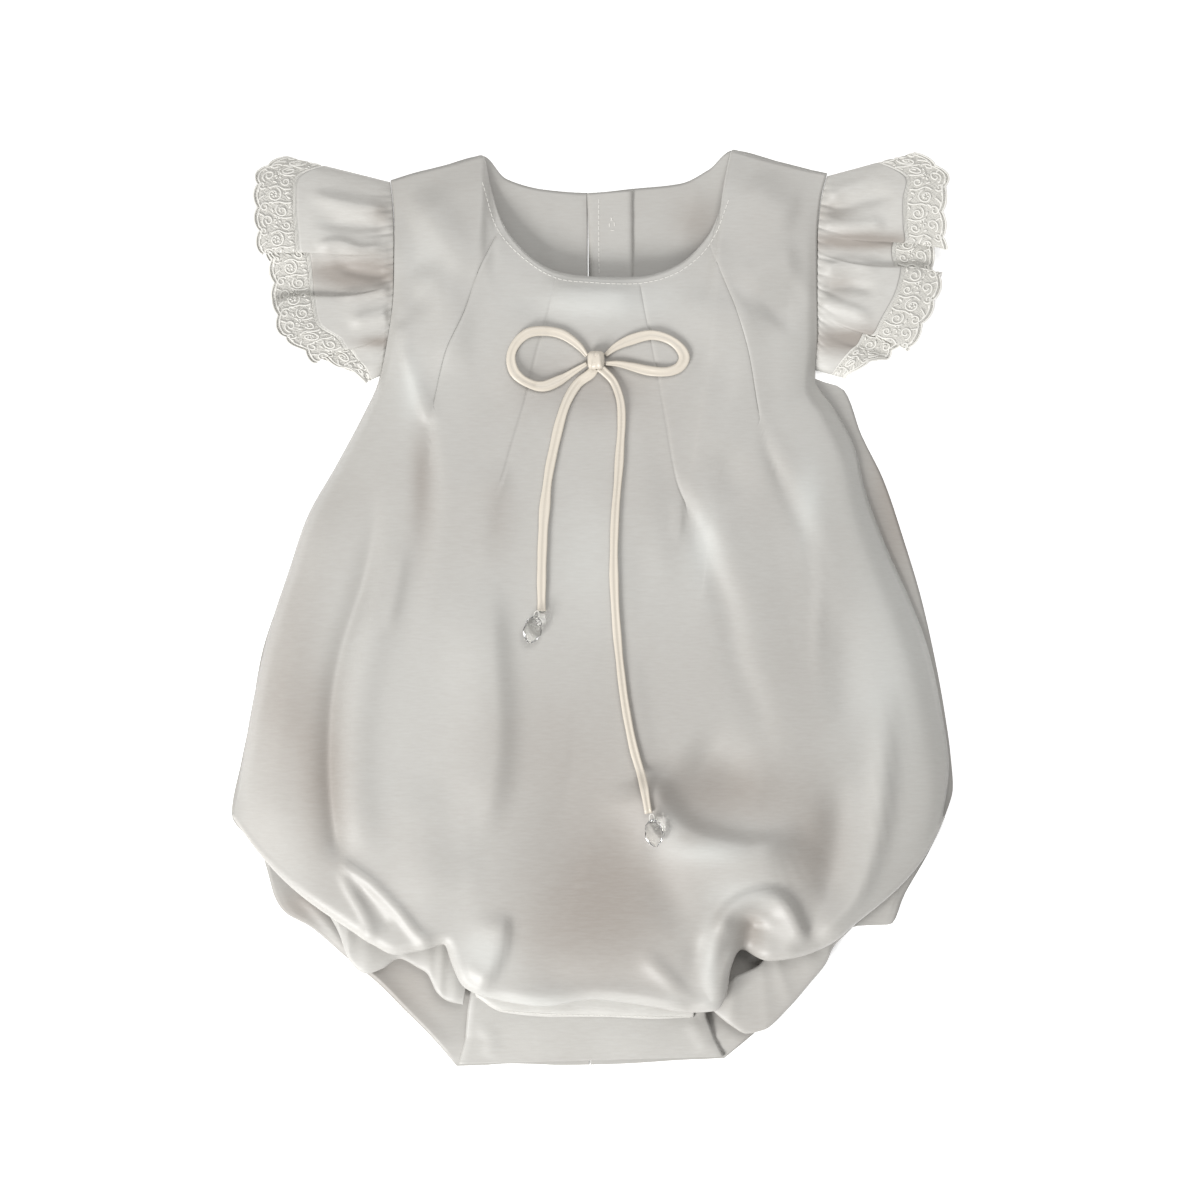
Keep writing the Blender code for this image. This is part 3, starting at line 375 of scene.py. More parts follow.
# Height from which each guide line begins at the neck edge
GUIDE_STARTS = (205.0, 169.4, 150.5, 148.3, 165.4)
GUIDES = [
    # y, left lap, left outer tuck, left inner tuck, right inner tuck, right outer tuck
    (-177.5, -92.0, -77.6, -58.7, 43.9, 75.4),
    (-152.8, -98.8, -81.2, -61.4, 64.1, 98.8),
    (-132.5, -106.4, -85.7, -56.0, 80.8, 106.0),
    (-110.0, -113.6, -88.0, -52.4, 88.9, 106.0),
    (-89.3, -116.8, -88.4, -49.7, 90.2, 104.2),
    (-70.0, -117.9, -88.0, -45.2, 79.4, 102.4),
    (-47.9, -118.1, -87.1, -43.9, 73.6, 101.0),
    (-25.4, -115.0, -85.3, -45.2, 64.6, 100.6),
    (-2.9, -109.1, -81.7, -49.7, 60.1, 100.6),
    (17.8, -101.9, -77.2, -49.7, 52.4, 101.0),
    (31.3, -98.8, -75.2, -48.4, 47.9, 96.1),
    (44.8, -97.4, -73.8, -46.1, 42.1, 89.5),
    (56.5, -96.1, -73.4, -40.7, 37.8, 84.4),
    (71.8, -94.3, -73.1, -36.2, 34.9, 78.1),
    (79.0, -93.4, -72.9, -34.0, 33.8, 76.3),
    (89.8, -92.0, -71.3, -30.8, 31.9, 74.2),
    (112.7, -88.4, -66.2, -25.4, 27.7, 70.4),
    (132.5, -84.8, -57.4, -19.6, 23.6, 64.6),
    (149.6, -81.2, -51.5, -16.0, 20.5, 57.8),
    (160.0, -79.0, -46.6, -13.7, 18.7, 53.8),
    (172.1, -75.8, -40.7, -11.9, 16.9, 49.7),
    (197.8, -70.0, -32.6, -10.1, 15.1, 48.4),
]
# Stitched tucks: a fine step at the seam, then a valley where the cloth is let out, with a billow on its
# high side
TUCKS = [
    # guide, start y, end y, fade y, high side, valley depth, billow height, low side width, rise width,
    # billow width
    (1, 168.5, 78.1, -38.0, 1, 2.2, 1.6, 6.0, 5.0, 15.0),
    (2, 149.6, 56.5, 2.5, -1, 0.0, 1.7, 3.6, 0.6, 17.0),
    (3, 146.0, 53.3, -87.5, 1, 2.0, 3.2, 6.0, 6.5, 19.0),
    (4, 164.5, 71.8, -15.5, 1, 1.2, 1.7, 4.0, 4.5, 14.0),
]
# Share of the way down over which the columns leave the guide lines
GUIDED_FROM = 0.33
GUIDED_TO = 0.46
# Columns and first row of the front that part evenly beside the arch, and how often they are eased
PARTED = (0.52, 0.90, 0.50)
PARTING_ROUNDS = 1500
# Height of a tuck's sewn step, depth of its seam, and how far both spread on the steep and on the soft side
SEWN_STEP = 0.28
SEWN_GROOVE = 0.5
SEWN_STEEP = 0.5
SEWN_SOFT = 6.0
# Height of the middle of the front cloth as shown, across each of its sections
SHOWN_ACROSS = (0.0, 0.02, 0.06, 0.18, 0.31, 0.50, 0.69, 0.82, 0.94, 0.98, 1.0)
SHOWN_SECTIONS = [
    # down, left edge, 0.02, 0.06, 0.18, 0.31, middle, 0.69, 0.82, 0.94, 0.98, right edge
    (0.00, 2.1, 2.1, 2.2, 2.1, 7.2, 9.9, 7.2, 2.1, 2.2, 2.1, 2.1),
    (0.06, 4.2, 5.0, 6.2, 7.4, 10.2, 11.8, 10.2, 7.4, 6.2, 5.0, 4.2),
    (0.13, 6.6, 8.2, 9.6, 11.2, 12.0, 12.2, 12.0, 11.2, 9.6, 8.2, 6.6),
    (0.25, 6.6, 9.2, 11.0, 12.5, 12.8, 12.7, 12.8, 12.5, 11.0, 9.2, 6.6),
    (0.32, 2.4, 8.0, 10.4, 13.0, 13.6, 13.6, 13.6, 13.0, 10.4, 8.0, 2.4),
    (0.46, 2.1, 8.6, 11.8, 14.6, 15.6, 16.0, 15.6, 14.6, 11.8, 8.6, 2.1),
    (0.62, 2.1, 9.4, 13.2, 16.4, 17.4, 17.8, 17.4, 16.4, 13.2, 9.4, 2.1),
    (0.78, 2.1, 9.8, 14.0, 17.2, 18.4, 18.9, 18.4, 17.2, 14.0, 9.8, 2.1),
    (0.90, 2.3, 8.6, 13.2, 18.0, 19.8, 20.6, 19.8, 18.0, 13.2, 8.6, 2.3),
    (1.00, 4.3, 6.4, 10.4, 18.6, 19.5, 19.6, 19.5, 18.6, 14.6, 8.2, 4.3),
]
LAP_LINE = [(-98.3, 61.0), (-97.9, 34.4), (-102.8, 9.2), (-110.9, -15.1), (-115.9, -38.0), (-117.7, -62.8),
            (-117.2, -83.0), (-115.4, -100.1), (-112.3, -117.2)]
SIDE_LINE = [(131.2, -29.0), (131.2, -61.9), (128.5, -95.2), (124.0, -115.0), (115.9, -133.4),
             (98.8, -149.6)]
# Soft folds of the front: a ridge has a height above 0, a hollow below it. West and east are how
# far the fold spreads to each side of its line
FRONT_FOLDS = [
    # name, west, east, height, start share, end share, points
    ("armhole crease", 3.0, 5.0, 2.1, 0.12, 0.12,
     [(-88.4, 127.6), (-84.8, 116.8), (-79.4, 101.5), (-72.7, 79.9)]),
    ("armhole hollow", 4.0, 5.0, -1.0, 0.3, 0.3, [(-85.7, 124.0), (-80.3, 109.6), (-73.1, 90.7)]),
    ("left shoulder hollow", 8.0, 8.0, -2.1, 0.3, 0.3,
     [(-92.9, 187.0), (-87.5, 172.6), (-80.3, 157.3), (-74.9, 143.8)]),
    ("left shoulder swell", 7.0, 10.0, 2.7, 0.3, 0.3,
     [(-80.3, 187.9), (-72.2, 174.4), (-62.3, 160.0), (-56.9, 144.7)]),
    ("left armhole hollow", 6.0, 8.0, -1.6, 0.3, 0.3, [(-89.3, 154.6), (-83.0, 142.0), (-72.2, 130.3)]),
    ("left chest swell", 8.0, 8.0, 2.3, 0.3, 0.3,
     [(-75.8, 154.6), (-65.9, 137.5), (-63.2, 119.5), (-66.8, 101.5)]),
    ("left yoke swell", 8.0, 6.0, 1.5, 0.3, 0.3, [(-28.1, 137.5), (-34.9, 115.0), (-41.6, 88.0)]),
    ("chest swell", 6.5, 9.0, 2.4, 0.3, 0.3, [(-25.9, 141.1), (-10.1, 138.8), (7.9, 137.9), (25.9, 141.1)]),
    ("right chest swell", 11.0, 9.0, 2.2, 0.3, 0.3,
     [(35.8, 142.0), (50.6, 132.1), (66.4, 129.4), (77.6, 137.5)]),
    ("right shoulder hollow", 9.0, 9.0, -1.0, 0.3, 0.3,
     [(48.4, 188.8), (53.8, 175.3), (64.6, 161.8), (79.9, 154.6)]),
    ("right shoulder swell", 9.0, 9.0, 1.4, 0.3, 0.3, [(68.6, 193.3), (79.9, 180.7), (93.4, 172.6)]),
    ("right armhole swell", 9.0, 8.0, 1.3, 0.3, 0.3, [(64.1, 142.9), (79.9, 151.0), (96.1, 156.4)]),
    ("right yoke hollow", 10.0, 10.0, -1.1, 0.3, 0.3, [(43.9, 114.1), (55.6, 105.1), (67.3, 101.5)]),
    ("right armhole hollow", 8.0, 9.0, -1.3, 0.3, 0.3, [(80.8, 124.0), (88.9, 134.8), (97.9, 142.0)]),
    ("bow hollow", 12.0, 9.0, -2.5, 0.35, 0.35,
     [(-32.6, 107.8), (-14.6, 103.3), (3.4, 99.7), (21.4, 103.3), (37.6, 109.6)]),
    ("left side swell", 10.0, 12.0, 1.3, 0.3, 0.3,
     [(-113.6, 61.0), (-125.3, 29.5), (-135.2, -6.5), (-142.4, -42.5), (-145.1, -78.5)]),
    ("left lap", 6.0, 4.5, -3.0, 0.3, 0.1, LAP_LINE),
    ("left lap edge", 2.6, 1.5, -0.8, 0.3, 0.1, LAP_LINE),
    ("left lap billow", 6.5, 8.0, 2.0, 0.3, 0.2,
     [(-89.3, 38.5), (-92.5, 9.2), (-99.2, -15.5), (-104.2, -42.5), (-105.5, -69.5), (-103.7, -96.5),
      (-98.3, -117.2)]),
    ("left streak", 3.0, 3.5, 0.8, 0.3, 0.3, [(-84.8, 29.5), (-88.0, 7.0), (-92.9, -13.7)]),
    ("left belly billow", 19.0, 8.0, 4.0, 0.3, 0.3,
     [(-47.5, 20.5), (-46.6, -2.0), (-44.8, -25.4), (-43.4, -47.9), (-44.3, -71.8), (-48.4, -92.9),
      (-56.9, -113.6)]),
    ("lower left swell", 13.0, 12.0, 1.6, 0.3, 0.3,
     [(-73.1, -74.0), (-75.8, -96.5), (-73.1, -119.0), (-65.9, -134.8)]),
    ("middle swell", 15.0, 11.0, 1.9, 0.4, 0.4, [(8.8, 70.0), (11.0, 43.0), (8.8, 11.5), (1.6, -20.0)]),
    ("beside the tail", 9.0, 7.0, 1.3, 0.3, 0.3, [(19.6, 79.0), (24.1, 52.0), (28.6, 29.5), (34.0, 2.5)]),
    ("fine pleat", 1.2, 2.2, 0.7, 0.2, 0.4, [(38.9, 48.4), (38.5, 38.5), (38.0, 27.2)]),
    ("right hollow", 9.0, 9.0, -1.6, 0.4, 0.4, [(58.3, 74.5), (61.9, 58.7), (67.3, 45.2)]),
    ("right streak by the tail", 1.8, 6.0, 1.0, 0.25, 0.2,
     [(14.2, -15.5), (17.8, -42.5), (22.3, -69.5), (25.9, -85.3)]),
    ("hip ridge", 15.0, 7.5, 6.2, 0.12, 0.25,
     [(25.0, -74.0), (28.6, -87.5), (35.8, -97.9), (46.6, -104.6), (59.2, -108.2), (71.8, -110.0),
      (84.4, -107.3), (96.1, -99.2)]),
    ("hip hollow", 14.0, 13.0, -3.2, 0.4, 0.4, [(41.2, -61.4), (55.6, -71.3), (78.1, -79.4)]),
    ("under the hip", 8.0, 8.0, -1.2, 0.4, 0.4, [(21.4, -115.4), (35.8, -132.5), (43.9, -150.5)]),
    ("right belly hollow", 9.0, 10.0, -1.4, 0.4, 0.3, [(112.3, 7.0), (114.1, -24.5), (114.1, -60.5)]),
    ("right lower hollow", 8.0, 6.0, -2.3, 0.35, 0.3,
     [(111.4, -69.5), (110.5, -96.5), (106.9, -119.9), (100.1, -134.8)]),
    ("crease under the right tuck", 1.5, 3.0, 0.7, 0.2, 0.5,
     [(99.2, 31.3), (101.5, 11.9), (100.1, -15.5), (101.5, -42.5)]),
    ("right side ridge", 6.0, 5.0, 2.9, 0.35, 0.1, SIDE_LINE),
    ("right side edge", 1.5, 2.6, 0.9, 0.3, 0.1, SIDE_LINE),
    ("right outer swell", 9.0, 9.0, 0.9, 0.4, 0.4, [(133.0, 20.5), (141.1, -15.5), (148.3, -51.5)]),
    ("arch", 5.0, 2.8, 4.2, 0.12, 0.12,
     [(55.6, -146.9), (59.6, -137.5), (66.4, -131.6), (74.5, -128.9), (82.6, -130.7), (88.4, -136.6),
      (92.0, -144.2), (96.1, -151.4)]),
    ("arch foot", 5.6, 4.6, 3.6, 0.25, 0.25,
     [(49.3, -180.2), (51.5, -169.4), (53.3, -157.7), (56.0, -146.0), (60.1, -137.9)]),
    ("arch hollow", 6.0, 5.4, -5.2, 0.1, 0.25, [(69.1, -155.9), (70.4, -146.9), (74.0, -138.8)]),
    ("arch inner swell", 4.0, 3.0, 0.9, 0.3, 0.2, [(82.6, -137.9), (85.7, -146.0), (89.8, -155.0)]),
    ("hem bump right", 4.0, 3.5, 1.6, 0.3, 0.2, [(21.4, -155.0), (32.2, -164.9), (43.9, -177.5)]),
    ("hem hollow right", 6.0, 6.0, -1.2, 0.3, 0.3, [(43.9, -146.0), (48.4, -159.5), (51.1, -175.3)]),
    ("left puff", 9.0, 3.0, 3.2, 0.25, 0.15,
     [(-40.7, -134.8), (-40.3, -148.3), (-44.3, -160.4), (-51.5, -170.8)]),
    ("notch ridge", 2.2, 2.6, 2.0, 0.1, 0.1,
     [(-112.7, -117.2), (-108.2, -117.7), (-98.8, -124.4), (-87.1, -136.1), (-78.5, -146.5),
      (-71.3, -150.5), (-65.5, -149.2)]),
    ("finger edge", 1.4, 2.4, 1.2, 0.15, 0.1,
     [(-112.3, -117.2), (-110.5, -124.4), (-103.7, -136.1), (-99.2, -146.0), (-98.3, -151.4)]),
    ("finger hollow", 3.0, 3.0, -1.4, 0.25, 0.15, [(-106.4, -123.5), (-98.3, -133.4), (-90.2, -145.1)]),
    ("belly hollow", 26.0, 22.0, -2.0, 0.4, 0.4,
     [(-32.6, -87.5), (-14.6, -94.3), (3.4, -94.3), (21.4, -110.0)]),
    ("hem swell", 5.0, 5.0, 1.3, 0.2, 0.2,
     [(-41.6, -173.9), (-23.6, -177.5), (3.4, -178.9), (25.9, -178.0), (43.9, -179.3)]),
    ("hem hollow", 6.0, 8.0, -1.2, 0.3, 0.3,
     [(-32.6, -164.0), (-10.1, -167.6), (12.4, -167.6), (34.0, -166.7)]),
]
# Gathers of each sleeve at the armhole, uneven as sewn
GATHER_LINES = [
    # share of the armhole, depth of the crease, reach out along the sleeve
    (0.03, 0.5, 0.12), (0.07, 0.8, 0.20), (0.105, 0.5, 0.10), (0.15, 0.9, 0.34),
    (0.185, 0.5, 0.12), (0.225, 0.7, 0.16), (0.27, 0.9, 0.30), (0.305, 0.4, 0.10),
    (0.345, 0.7, 0.18), (0.39, 0.5, 0.10), (0.425, 0.9, 0.36), (0.47, 0.5, 0.12),
    (0.51, 0.7, 0.20), (0.55, 0.5, 0.10), (0.585, 0.9, 0.30), (0.625, 0.5, 0.12),
    (0.665, 0.8, 0.24), (0.70, 0.4, 0.10), (0.745, 0.9, 0.30), (0.78, 0.5, 0.12),
    (0.82, 0.7, 0.20), (0.865, 0.8, 0.28), (0.90, 0.5, 0.12), (0.945, 0.7, 0.18),
]
GATHER_WIDTH = 0.0085
GATHER_SIZE = 0.8
# Spacing of the sleeve's grid round the armhole, rows of its table that lie on the front side, and how
# far its folds sway
SLEEVE_FINE = 0.5
FRONT_FOLD_ROWS = 17
SLEEVE_WAVE = 1.4
SLEEVE_FOLDS = {
    # name, west, east, height, start share, end share, points
    "left": [
        ("upper crest", 3.0, 4.0, 1.9, 0.2, 0.3, [(-91.1, 178.0), (-109.1, 180.7), (-129.4, 185.2)]),
        ("upper valley", 4.0, 3.5, -1.8, 0.2, 0.3, [(-90.7, 170.3), (-106.9, 171.2), (-126.2, 172.6)]),
        ("lower lip of the first layer", 2.2, 4.0, 1.6, 0.2, 0.2,
         [(-91.1, 161.8), (-103.7, 160.4), (-114.5, 163.1), (-125.3, 160.9)]),
        ("middle valley", 3.5, 3.0, -1.8, 0.2, 0.3, [(-90.7, 148.3), (-103.7, 150.1), (-118.1, 153.7)]),
        ("second crest", 2.6, 3.2, 1.4, 0.2, 0.3, [(-90.2, 142.9), (-102.4, 141.1), (-116.3, 139.3)]),
        ("third crest", 3.5, 3.0, 1.6, 0.2, 0.3, [(-90.7, 131.2), (-100.1, 129.4), (-110.9, 126.7)]),
    ],
    "right": [
        ("upper crest", 4.0, 4.0, 1.9, 0.2, 0.3, [(103.3, 182.5), (118.1, 191.5), (134.8, 197.8)]),
        ("upper valley", 3.5, 4.0, -1.6, 0.2, 0.3, [(103.3, 177.1), (120.4, 181.6), (137.5, 185.2)]),
        ("lower lip of the first layer", 2.6, 3.5, 1.6, 0.2, 0.2,
         [(102.4, 172.6), (115.9, 170.8), (133.0, 171.7)]),
        ("middle crest", 3.4, 3.0, 1.7, 0.2, 0.3, [(102.4, 151.0), (115.0, 154.6), (131.2, 151.9)]),
        ("middle valley", 3.0, 3.0, -1.6, 0.2, 0.3, [(101.9, 142.9), (115.9, 143.8), (129.4, 141.1)]),
        ("lower crest", 3.2, 3.0, 1.6, 0.2, 0.3, [(101.5, 137.5), (113.6, 133.9), (127.6, 128.5)]),
    ],
}
# Lace: length of one repeat, its scallops and the rise of its stitched leaves
MOTIF_LENGTH = 21.0
SCALLOPS_EACH = 2
SCALLOP_RISE = 1.9
PETAL_RISE = 0.45
PETAL_SIZE = (1.7, 1.15)
SCROLLS = [
    # along share, across share, outer radius, inner radius, turns, start degrees, hand
    (0.22, 0.52, 3.7, 0.9, 1.40, 200.0, 1.0),
    (0.58, 0.34, 3.2, 0.8, 1.30, 160.0, -1.0),
    (0.80, 0.68, 3.0, 0.8, 1.25, 20.0, 1.0),
    (0.50, 0.74, 2.3, 0.7, 1.15, 250.0, -1.0),
    (0.02, 0.80, 2.0, 0.6, 1.10, 300.0, 1.0),
    (0.90, 0.26, 2.2, 0.7, 1.15, 90.0, -1.0),
]
STEMS = [
    # two or more places, as shares along and across
    [(0.05, 0.10), (0.08, 0.28), (0.02, 0.46), (0.08, 0.64)],
    [(0.36, 0.10), (0.40, 0.24), (0.38, 0.42), (0.42, 0.58)],
    [(0.70, 0.10), (0.74, 0.26), (0.72, 0.42), (0.66, 0.54)],
    [(0.24, 0.74), (0.30, 0.84), (0.36, 0.90)],
    [(0.62, 0.90), (0.66, 0.82), (0.70, 0.76)],
]
LEAVES = [
    # along share, across share, length, width, turn in degrees
    (0.15, 0.20, 2.9, 1.3, 60.0), (0.27, 0.17, 2.6, 1.2, 120.0), (0.46, 0.14, 2.6, 1.2, 30.0),
    (0.40, 0.60, 3.0, 1.4, 70.0), (0.58, 0.56, 2.6, 1.2, 160.0), (0.93, 0.50, 2.8, 1.3, 110.0),
    (0.13, 0.88, 2.8, 1.3, 10.0), (0.36, 0.88, 2.6, 1.2, 165.0), (0.64, 0.89, 2.8, 1.3, 20.0),
    (0.90, 0.90, 2.6, 1.2, 165.0),
]
FLOWERS = [
    # along share, across share, petals, distance of the petals from the middle
    (0.22, 0.52, 5, 0.95),
    (0.78, 0.46, 5, 1.1),
]
# Strap section as shown, with its rolled edges and one lengthwise crease
STRAP_SHOWN = 4.4
STRAP_DIP = 0.55
STRAP_CREASE = 0.5
STRAP_CREASE_WIDTH = 0.75
# Crystal drops: x, y, turn in degrees
LEFT_BEAD = (-26.6, -10.6, 14.0)
RIGHT_BEAD = (27.4, -101.0, -8.0)
BOW_CENTRE = (1.6, 110.0)
KNOT_SIZE = (7.6, 8.2, 4.6)
TAIL_STARTS = ((0.8, 106.4), (3.0, 106.8))
CRYSTAL_RINGS = [
    # place along the drop, share of the full width
    (-0.50, 0.26), (-0.32, 0.80), (-0.12, 1.0), (0.12, 1.0), (0.32, 0.80), (0.50, 0.26),
]
# Thread loop at the top of a drop: distance of its middle, half its length and width, and the thread's radius
LOOP_MIDDLE = 6.6
LOOP_REACH = 1.9
LOOP_WIDE = 1.1
LOOP_THICK = 0.22
# Where the wrinkles of the back's legs begin, and the height of the casings' gathers
LEG_WRINKLES_TOP = -132.5
CASING_RIPPLE = 0.5
# Satin: tone that its uneven threads add and take away, sheen, gloss and the relief of its ribs in metres
SLUB_TONE = 0.07
SATIN_SHEEN = 0.12
SATIN_GLOSS = 0.62
SATIN_RELIEF = 0.00007
FINISHES = {
    # piece: turn of the ribs in radians, roughness, tone (above 1 painted light, below 1 painted shade)
    "front": (0.0, 0.5, 1.0),
    "back": (0.0, 0.6, 0.95),
    "placket": (0.0, 0.5, 1.0),
    "crotch band": (0.0, 0.42, 1.05),
    "binding": (0.0, 0.42, 1.35),
    "casing": (0.0, 0.5, 1.0),
    "sleeve": (1.4, 0.55, 1.24),
}
BACK_FOLDS = [
    # name, west, east, height, start share, end share, points
    ("left fold at the leg", 2.4, 5.0, 1.3, 0.3, 0.3,
     [(-137.9, -128.9), (-127.6, -134.8), (-115.9, -148.3), (-99.2, -167.6), (-82.1, -183.8)]),
    ("left lower fold", 3.0, 4.0, 0.9, 0.3, 0.3,
     [(-118.1, -157.3), (-99.2, -170.8), (-75.8, -190.1), (-63.2, -204.5)]),
    ("right fold at the leg", 4.0, 2.4, 1.2, 0.3, 0.3,
     [(151.9, -115.4), (138.4, -132.5), (121.3, -143.8), (109.1, -154.1)]),
    ("right crotch fold", 2.5, 3.0, 1.1, 0.3, 0.3, [(53.8, -186.5), (63.2, -196.4), (71.8, -193.7)]),
    ("neck fold left", 5.0, 4.0, 0.35, 0.3, 0.3, [(-23.6, 187.0), (-20.0, 166.7), (-14.6, 146.5)]),
    ("neck fold right", 3.0, 6.0, 0.5, 0.3, 0.3, [(48.4, 191.5), (43.9, 175.7), (35.8, 154.6)]),
]
BAND_FOLDS = [
    # name, west, east, height, start share, end share, points
    ("band fold left", 3.0, 4.0, 0.5, 0.3, 0.3, [(-53.3, -188.3), (-46.1, -195.5), (-47.9, -205.4)]),
    ("band fold right", 4.0, 3.0, 0.6, 0.3, 0.3, [(43.9, -185.6), (48.4, -193.7), (53.8, -202.7)]),
    ("band swell", 6.0, 5.0, 0.35, 0.3, 0.3, [(-41.6, -198.2), (-1.1, -195.5), (39.4, -197.3)]),
]
# Painted shade in the sleeves' troughs between their layers and among their gathers
SLEEVE_SHADE_SPOTS = {
    # name, x, y, spread across, spread along, strength
    "left": [("trough", -108.2, 149.6, 26.0, 8.0, 0.75), ("lower trough", -95.6, 118.6, 10.0, 3.0, 0.6),
             ("upper gathers", -94.7, 176.2, 5.0, 5.0, 0.3)],
    "right": [("trough", 121.3, 164.0, 26.0, 4.0, 0.8), ("lower trough", 115.9, 119.5, 20.0, 6.0, 0.7),
              ("upper gathers", 107.8, 177.1, 10.0, 5.0, 0.3),
              ("lower gathers", 110.5, 144.2, 7.0, 6.0, 0.3)],
}
# Painted shade on the satin: its level everywhere and the soft spots that add to it or take from it
PAINTED_SHADE_LEVEL = 0.38
# A positive strength paints shade, a negative one paints a highlight
PAINTED_SHADE_AND_LIGHT_SPOTS = [
    # name, x, y, spread across, spread along, strength
    ("belly", 3.4, -123.5, 44.0, 42.0, 0.5),
    ("lower belly", -16.9, -148.3, 30.0, 20.0, 0.15),
    ("right hip", 58.3, -82.1, 28.0, 15.0, 0.45),
    ("right lower", 100.1, -110.0, 14.0, 24.0, 0.4),
    ("left tuck", -76.7, 56.5, 5.0, 24.0, 0.4),
    ("left lap", -119.0, -78.5, 12.0, 38.0, 0.45),
    ("upper belly", -18.2, -65.0, 28.0, 26.0, 0.25),
    ("left side", -137.0, -38.0, 18.0, 60.0, 0.3),
    ("under the bow", -1.1, 97.9, 32.0, 15.0, 0.3),
    ("right side", 131.6, -15.5, 26.0, 70.0, -0.3),
    ("inner tuck", -41.6, 38.5, 7.0, 18.0, 0.2),
    ("chest", 3.4, 135.7, 28.0, 9.0, -0.4),
    ("right ridge", 49.7, 27.2, 7.0, 16.0, -0.35),
    ("puff", -47.0, -155.0, 12.0, 10.0, -0.35),
    ("middle", -1.1, 25.0, 14.0, 26.0, -0.15),
    ("right tuck", 97.0, 47.5, 6.0, 18.0, -0.35),
    ("left shoulder", -75.4, 160.0, 14.0, 20.0, -0.2),
    ("armhole crease", -81.2, 97.0, 5.0, 14.0, -0.35),
    ("arch", 65.5, -129.4, 14.0, 6.0, -0.3),
    ("arch hollow", 70.9, -146.0, 6.0, 10.0, 0.45),
    ("hip", 34.0, -99.2, 7.0, 8.0, -0.4),
    ("hip slope", 50.6, -110.0, 17.0, 5.0, -0.45),
    ("arch wall", 52.0, -161.8, 4.0, 20.0, -0.35),
    ("hem", -14.6, -177.5, 50.0, 5.0, -0.3),
]
# Painted shade on the back halves at the legs, beside the neck and along the right side
BACK_SHADE_SPOTS = [
    # name, x, y, spread across, spread along, strength
    ("left leg shade", -129.8, -134.8, 12.0, 8.0, 0.5),
    ("left leg", -93.4, -170.8, 40.0, 24.0, 0.3),
    ("right leg", 93.4, -170.8, 40.0, 24.0, 0.2),
    ("right neck", 48.4, 173.5, 12.0, 12.0, 0.4),
    ("right side", 138.4, 56.5, 14.0, 40.0, 0.7),
]
# Stitches in metres, and how high their middle lies over the cloth in millimetres
STITCH_SIZES = {"Spacing": 0.0024, "Stitch length": 0.0017, "Thread radius": 0.00016}
STITCH_LIFT = 0.05
STITCHED = [
    # piece, node, cloth that the stitches lie on, lines of places
    ("neck_stitches", "front_panel", "front_satin",
     [[(-49.3, 189.7), (-43.0, 169.9), (-31.7, 156.8), (-16.9, 147.4), (-0.2, 145.1), (20.0, 144.7),
       (36.2, 148.7), (48.4, 157.3), (55.6, 167.6), (61.0, 181.6)]]),
    ("placket_stitches", "back_placket", "placket_satin", [[(2.9, 182.5), (2.9, 164.5), (2.9, 151.0)]]),
    ("buttonhole_stitches", "back_placket", "placket_satin",
     [[(8.6, 174.4), (9.7, 173.7), (9.9, 171.7), (9.5, 169.9), (8.6, 169.4), (7.9, 170.8), (7.7, 173.0),
       (8.6, 174.4)]]),
    ("binding_stitches", "crotch_binding", "crotch_binding_satin",
     [[(-51.5, -181.6), (-23.6, -183.8), (3.4, -184.7), (25.9, -185.2), (43.0, -185.6)]]),
]


def colour_of(code):
    # An sRGB hex value as linear light
    values = [int(code[k:k + 2], 16) / 255 for k in (0, 2, 4)]
    return [v / 12.92 if v <= 0.04045 else ((v + 0.055) / 1.055) ** 2.4 for v in values]


class RomperSettings(bpy.types.PropertyGroup):
    """Sizes and colours of the romper's cloth, lace and trims"""

    satin: bpy.props.FloatVectorProperty(
        name="Satin", description="Ivory of the body and sleeves", subtype="COLOR",
        default=colour_of("BDBDB9"))
    # Colour of the painted shade, which the satin's painted shade and highlight spots mix in or hold back
    satin_painted_shade: bpy.props.FloatVectorProperty(
        name="Satin shade", description="Warmer tone where the layers show through", subtype="COLOR",
        default=colour_of("948D86"))
    strap: bpy.props.FloatVectorProperty(
        name="Strap", description="Cream of the bow and its tails", subtype="COLOR",
        default=colour_of("CDC5B8"))
    lace: bpy.props.FloatVectorProperty(
        name="Lace", description="White of the lace threads", subtype="COLOR", default=colour_of("DCDAD4"))
    lace_ground: bpy.props.FloatVectorProperty(
        name="Lace ground", description="Greyer tone of the close net behind the cords", subtype="COLOR",
        default=colour_of("BCBAB4"))
    shell: bpy.props.FloatProperty(
        name="Cloth thickness", description="Thickness of the shown satin", unit="LENGTH", default=0.0006)
    weave: bpy.props.FloatProperty(
        name="Weave spacing", description="Distance between the threads as drawn", unit="LENGTH",
        default=0.0009)
    cord: bpy.props.FloatProperty(
        name="Lace cord", description="Thickness of the lace's raised cord", unit="LENGTH", default=0.00095)
    net: bpy.props.FloatProperty(
        name="Net thread", description="Thickness of the lace's net threads", unit="LENGTH", default=0.00026)
    net_cell: bpy.props.FloatProperty(
        name="Net cell", description="Width of one cell of the net", unit="LENGTH", default=0.0016)


def settings():
    # The romper's own properties in the open scene
    return bpy.context.scene.romper


def smooth_between(values, slopes, i, share, step):
    # Values on a smooth curve between the rows i and i + 1, which have the slopes given for them
    a = 2 * share ** 3 - 3 * share ** 2 + 1
    b = share ** 3 - 2 * share ** 2 + share
    c = -2 * share ** 3 + 3 * share ** 2
    d = share ** 3 - share ** 2
    return a * values[i] + b * step * slopes[i] + c * values[i + 1] + d * step * slopes[i + 1]


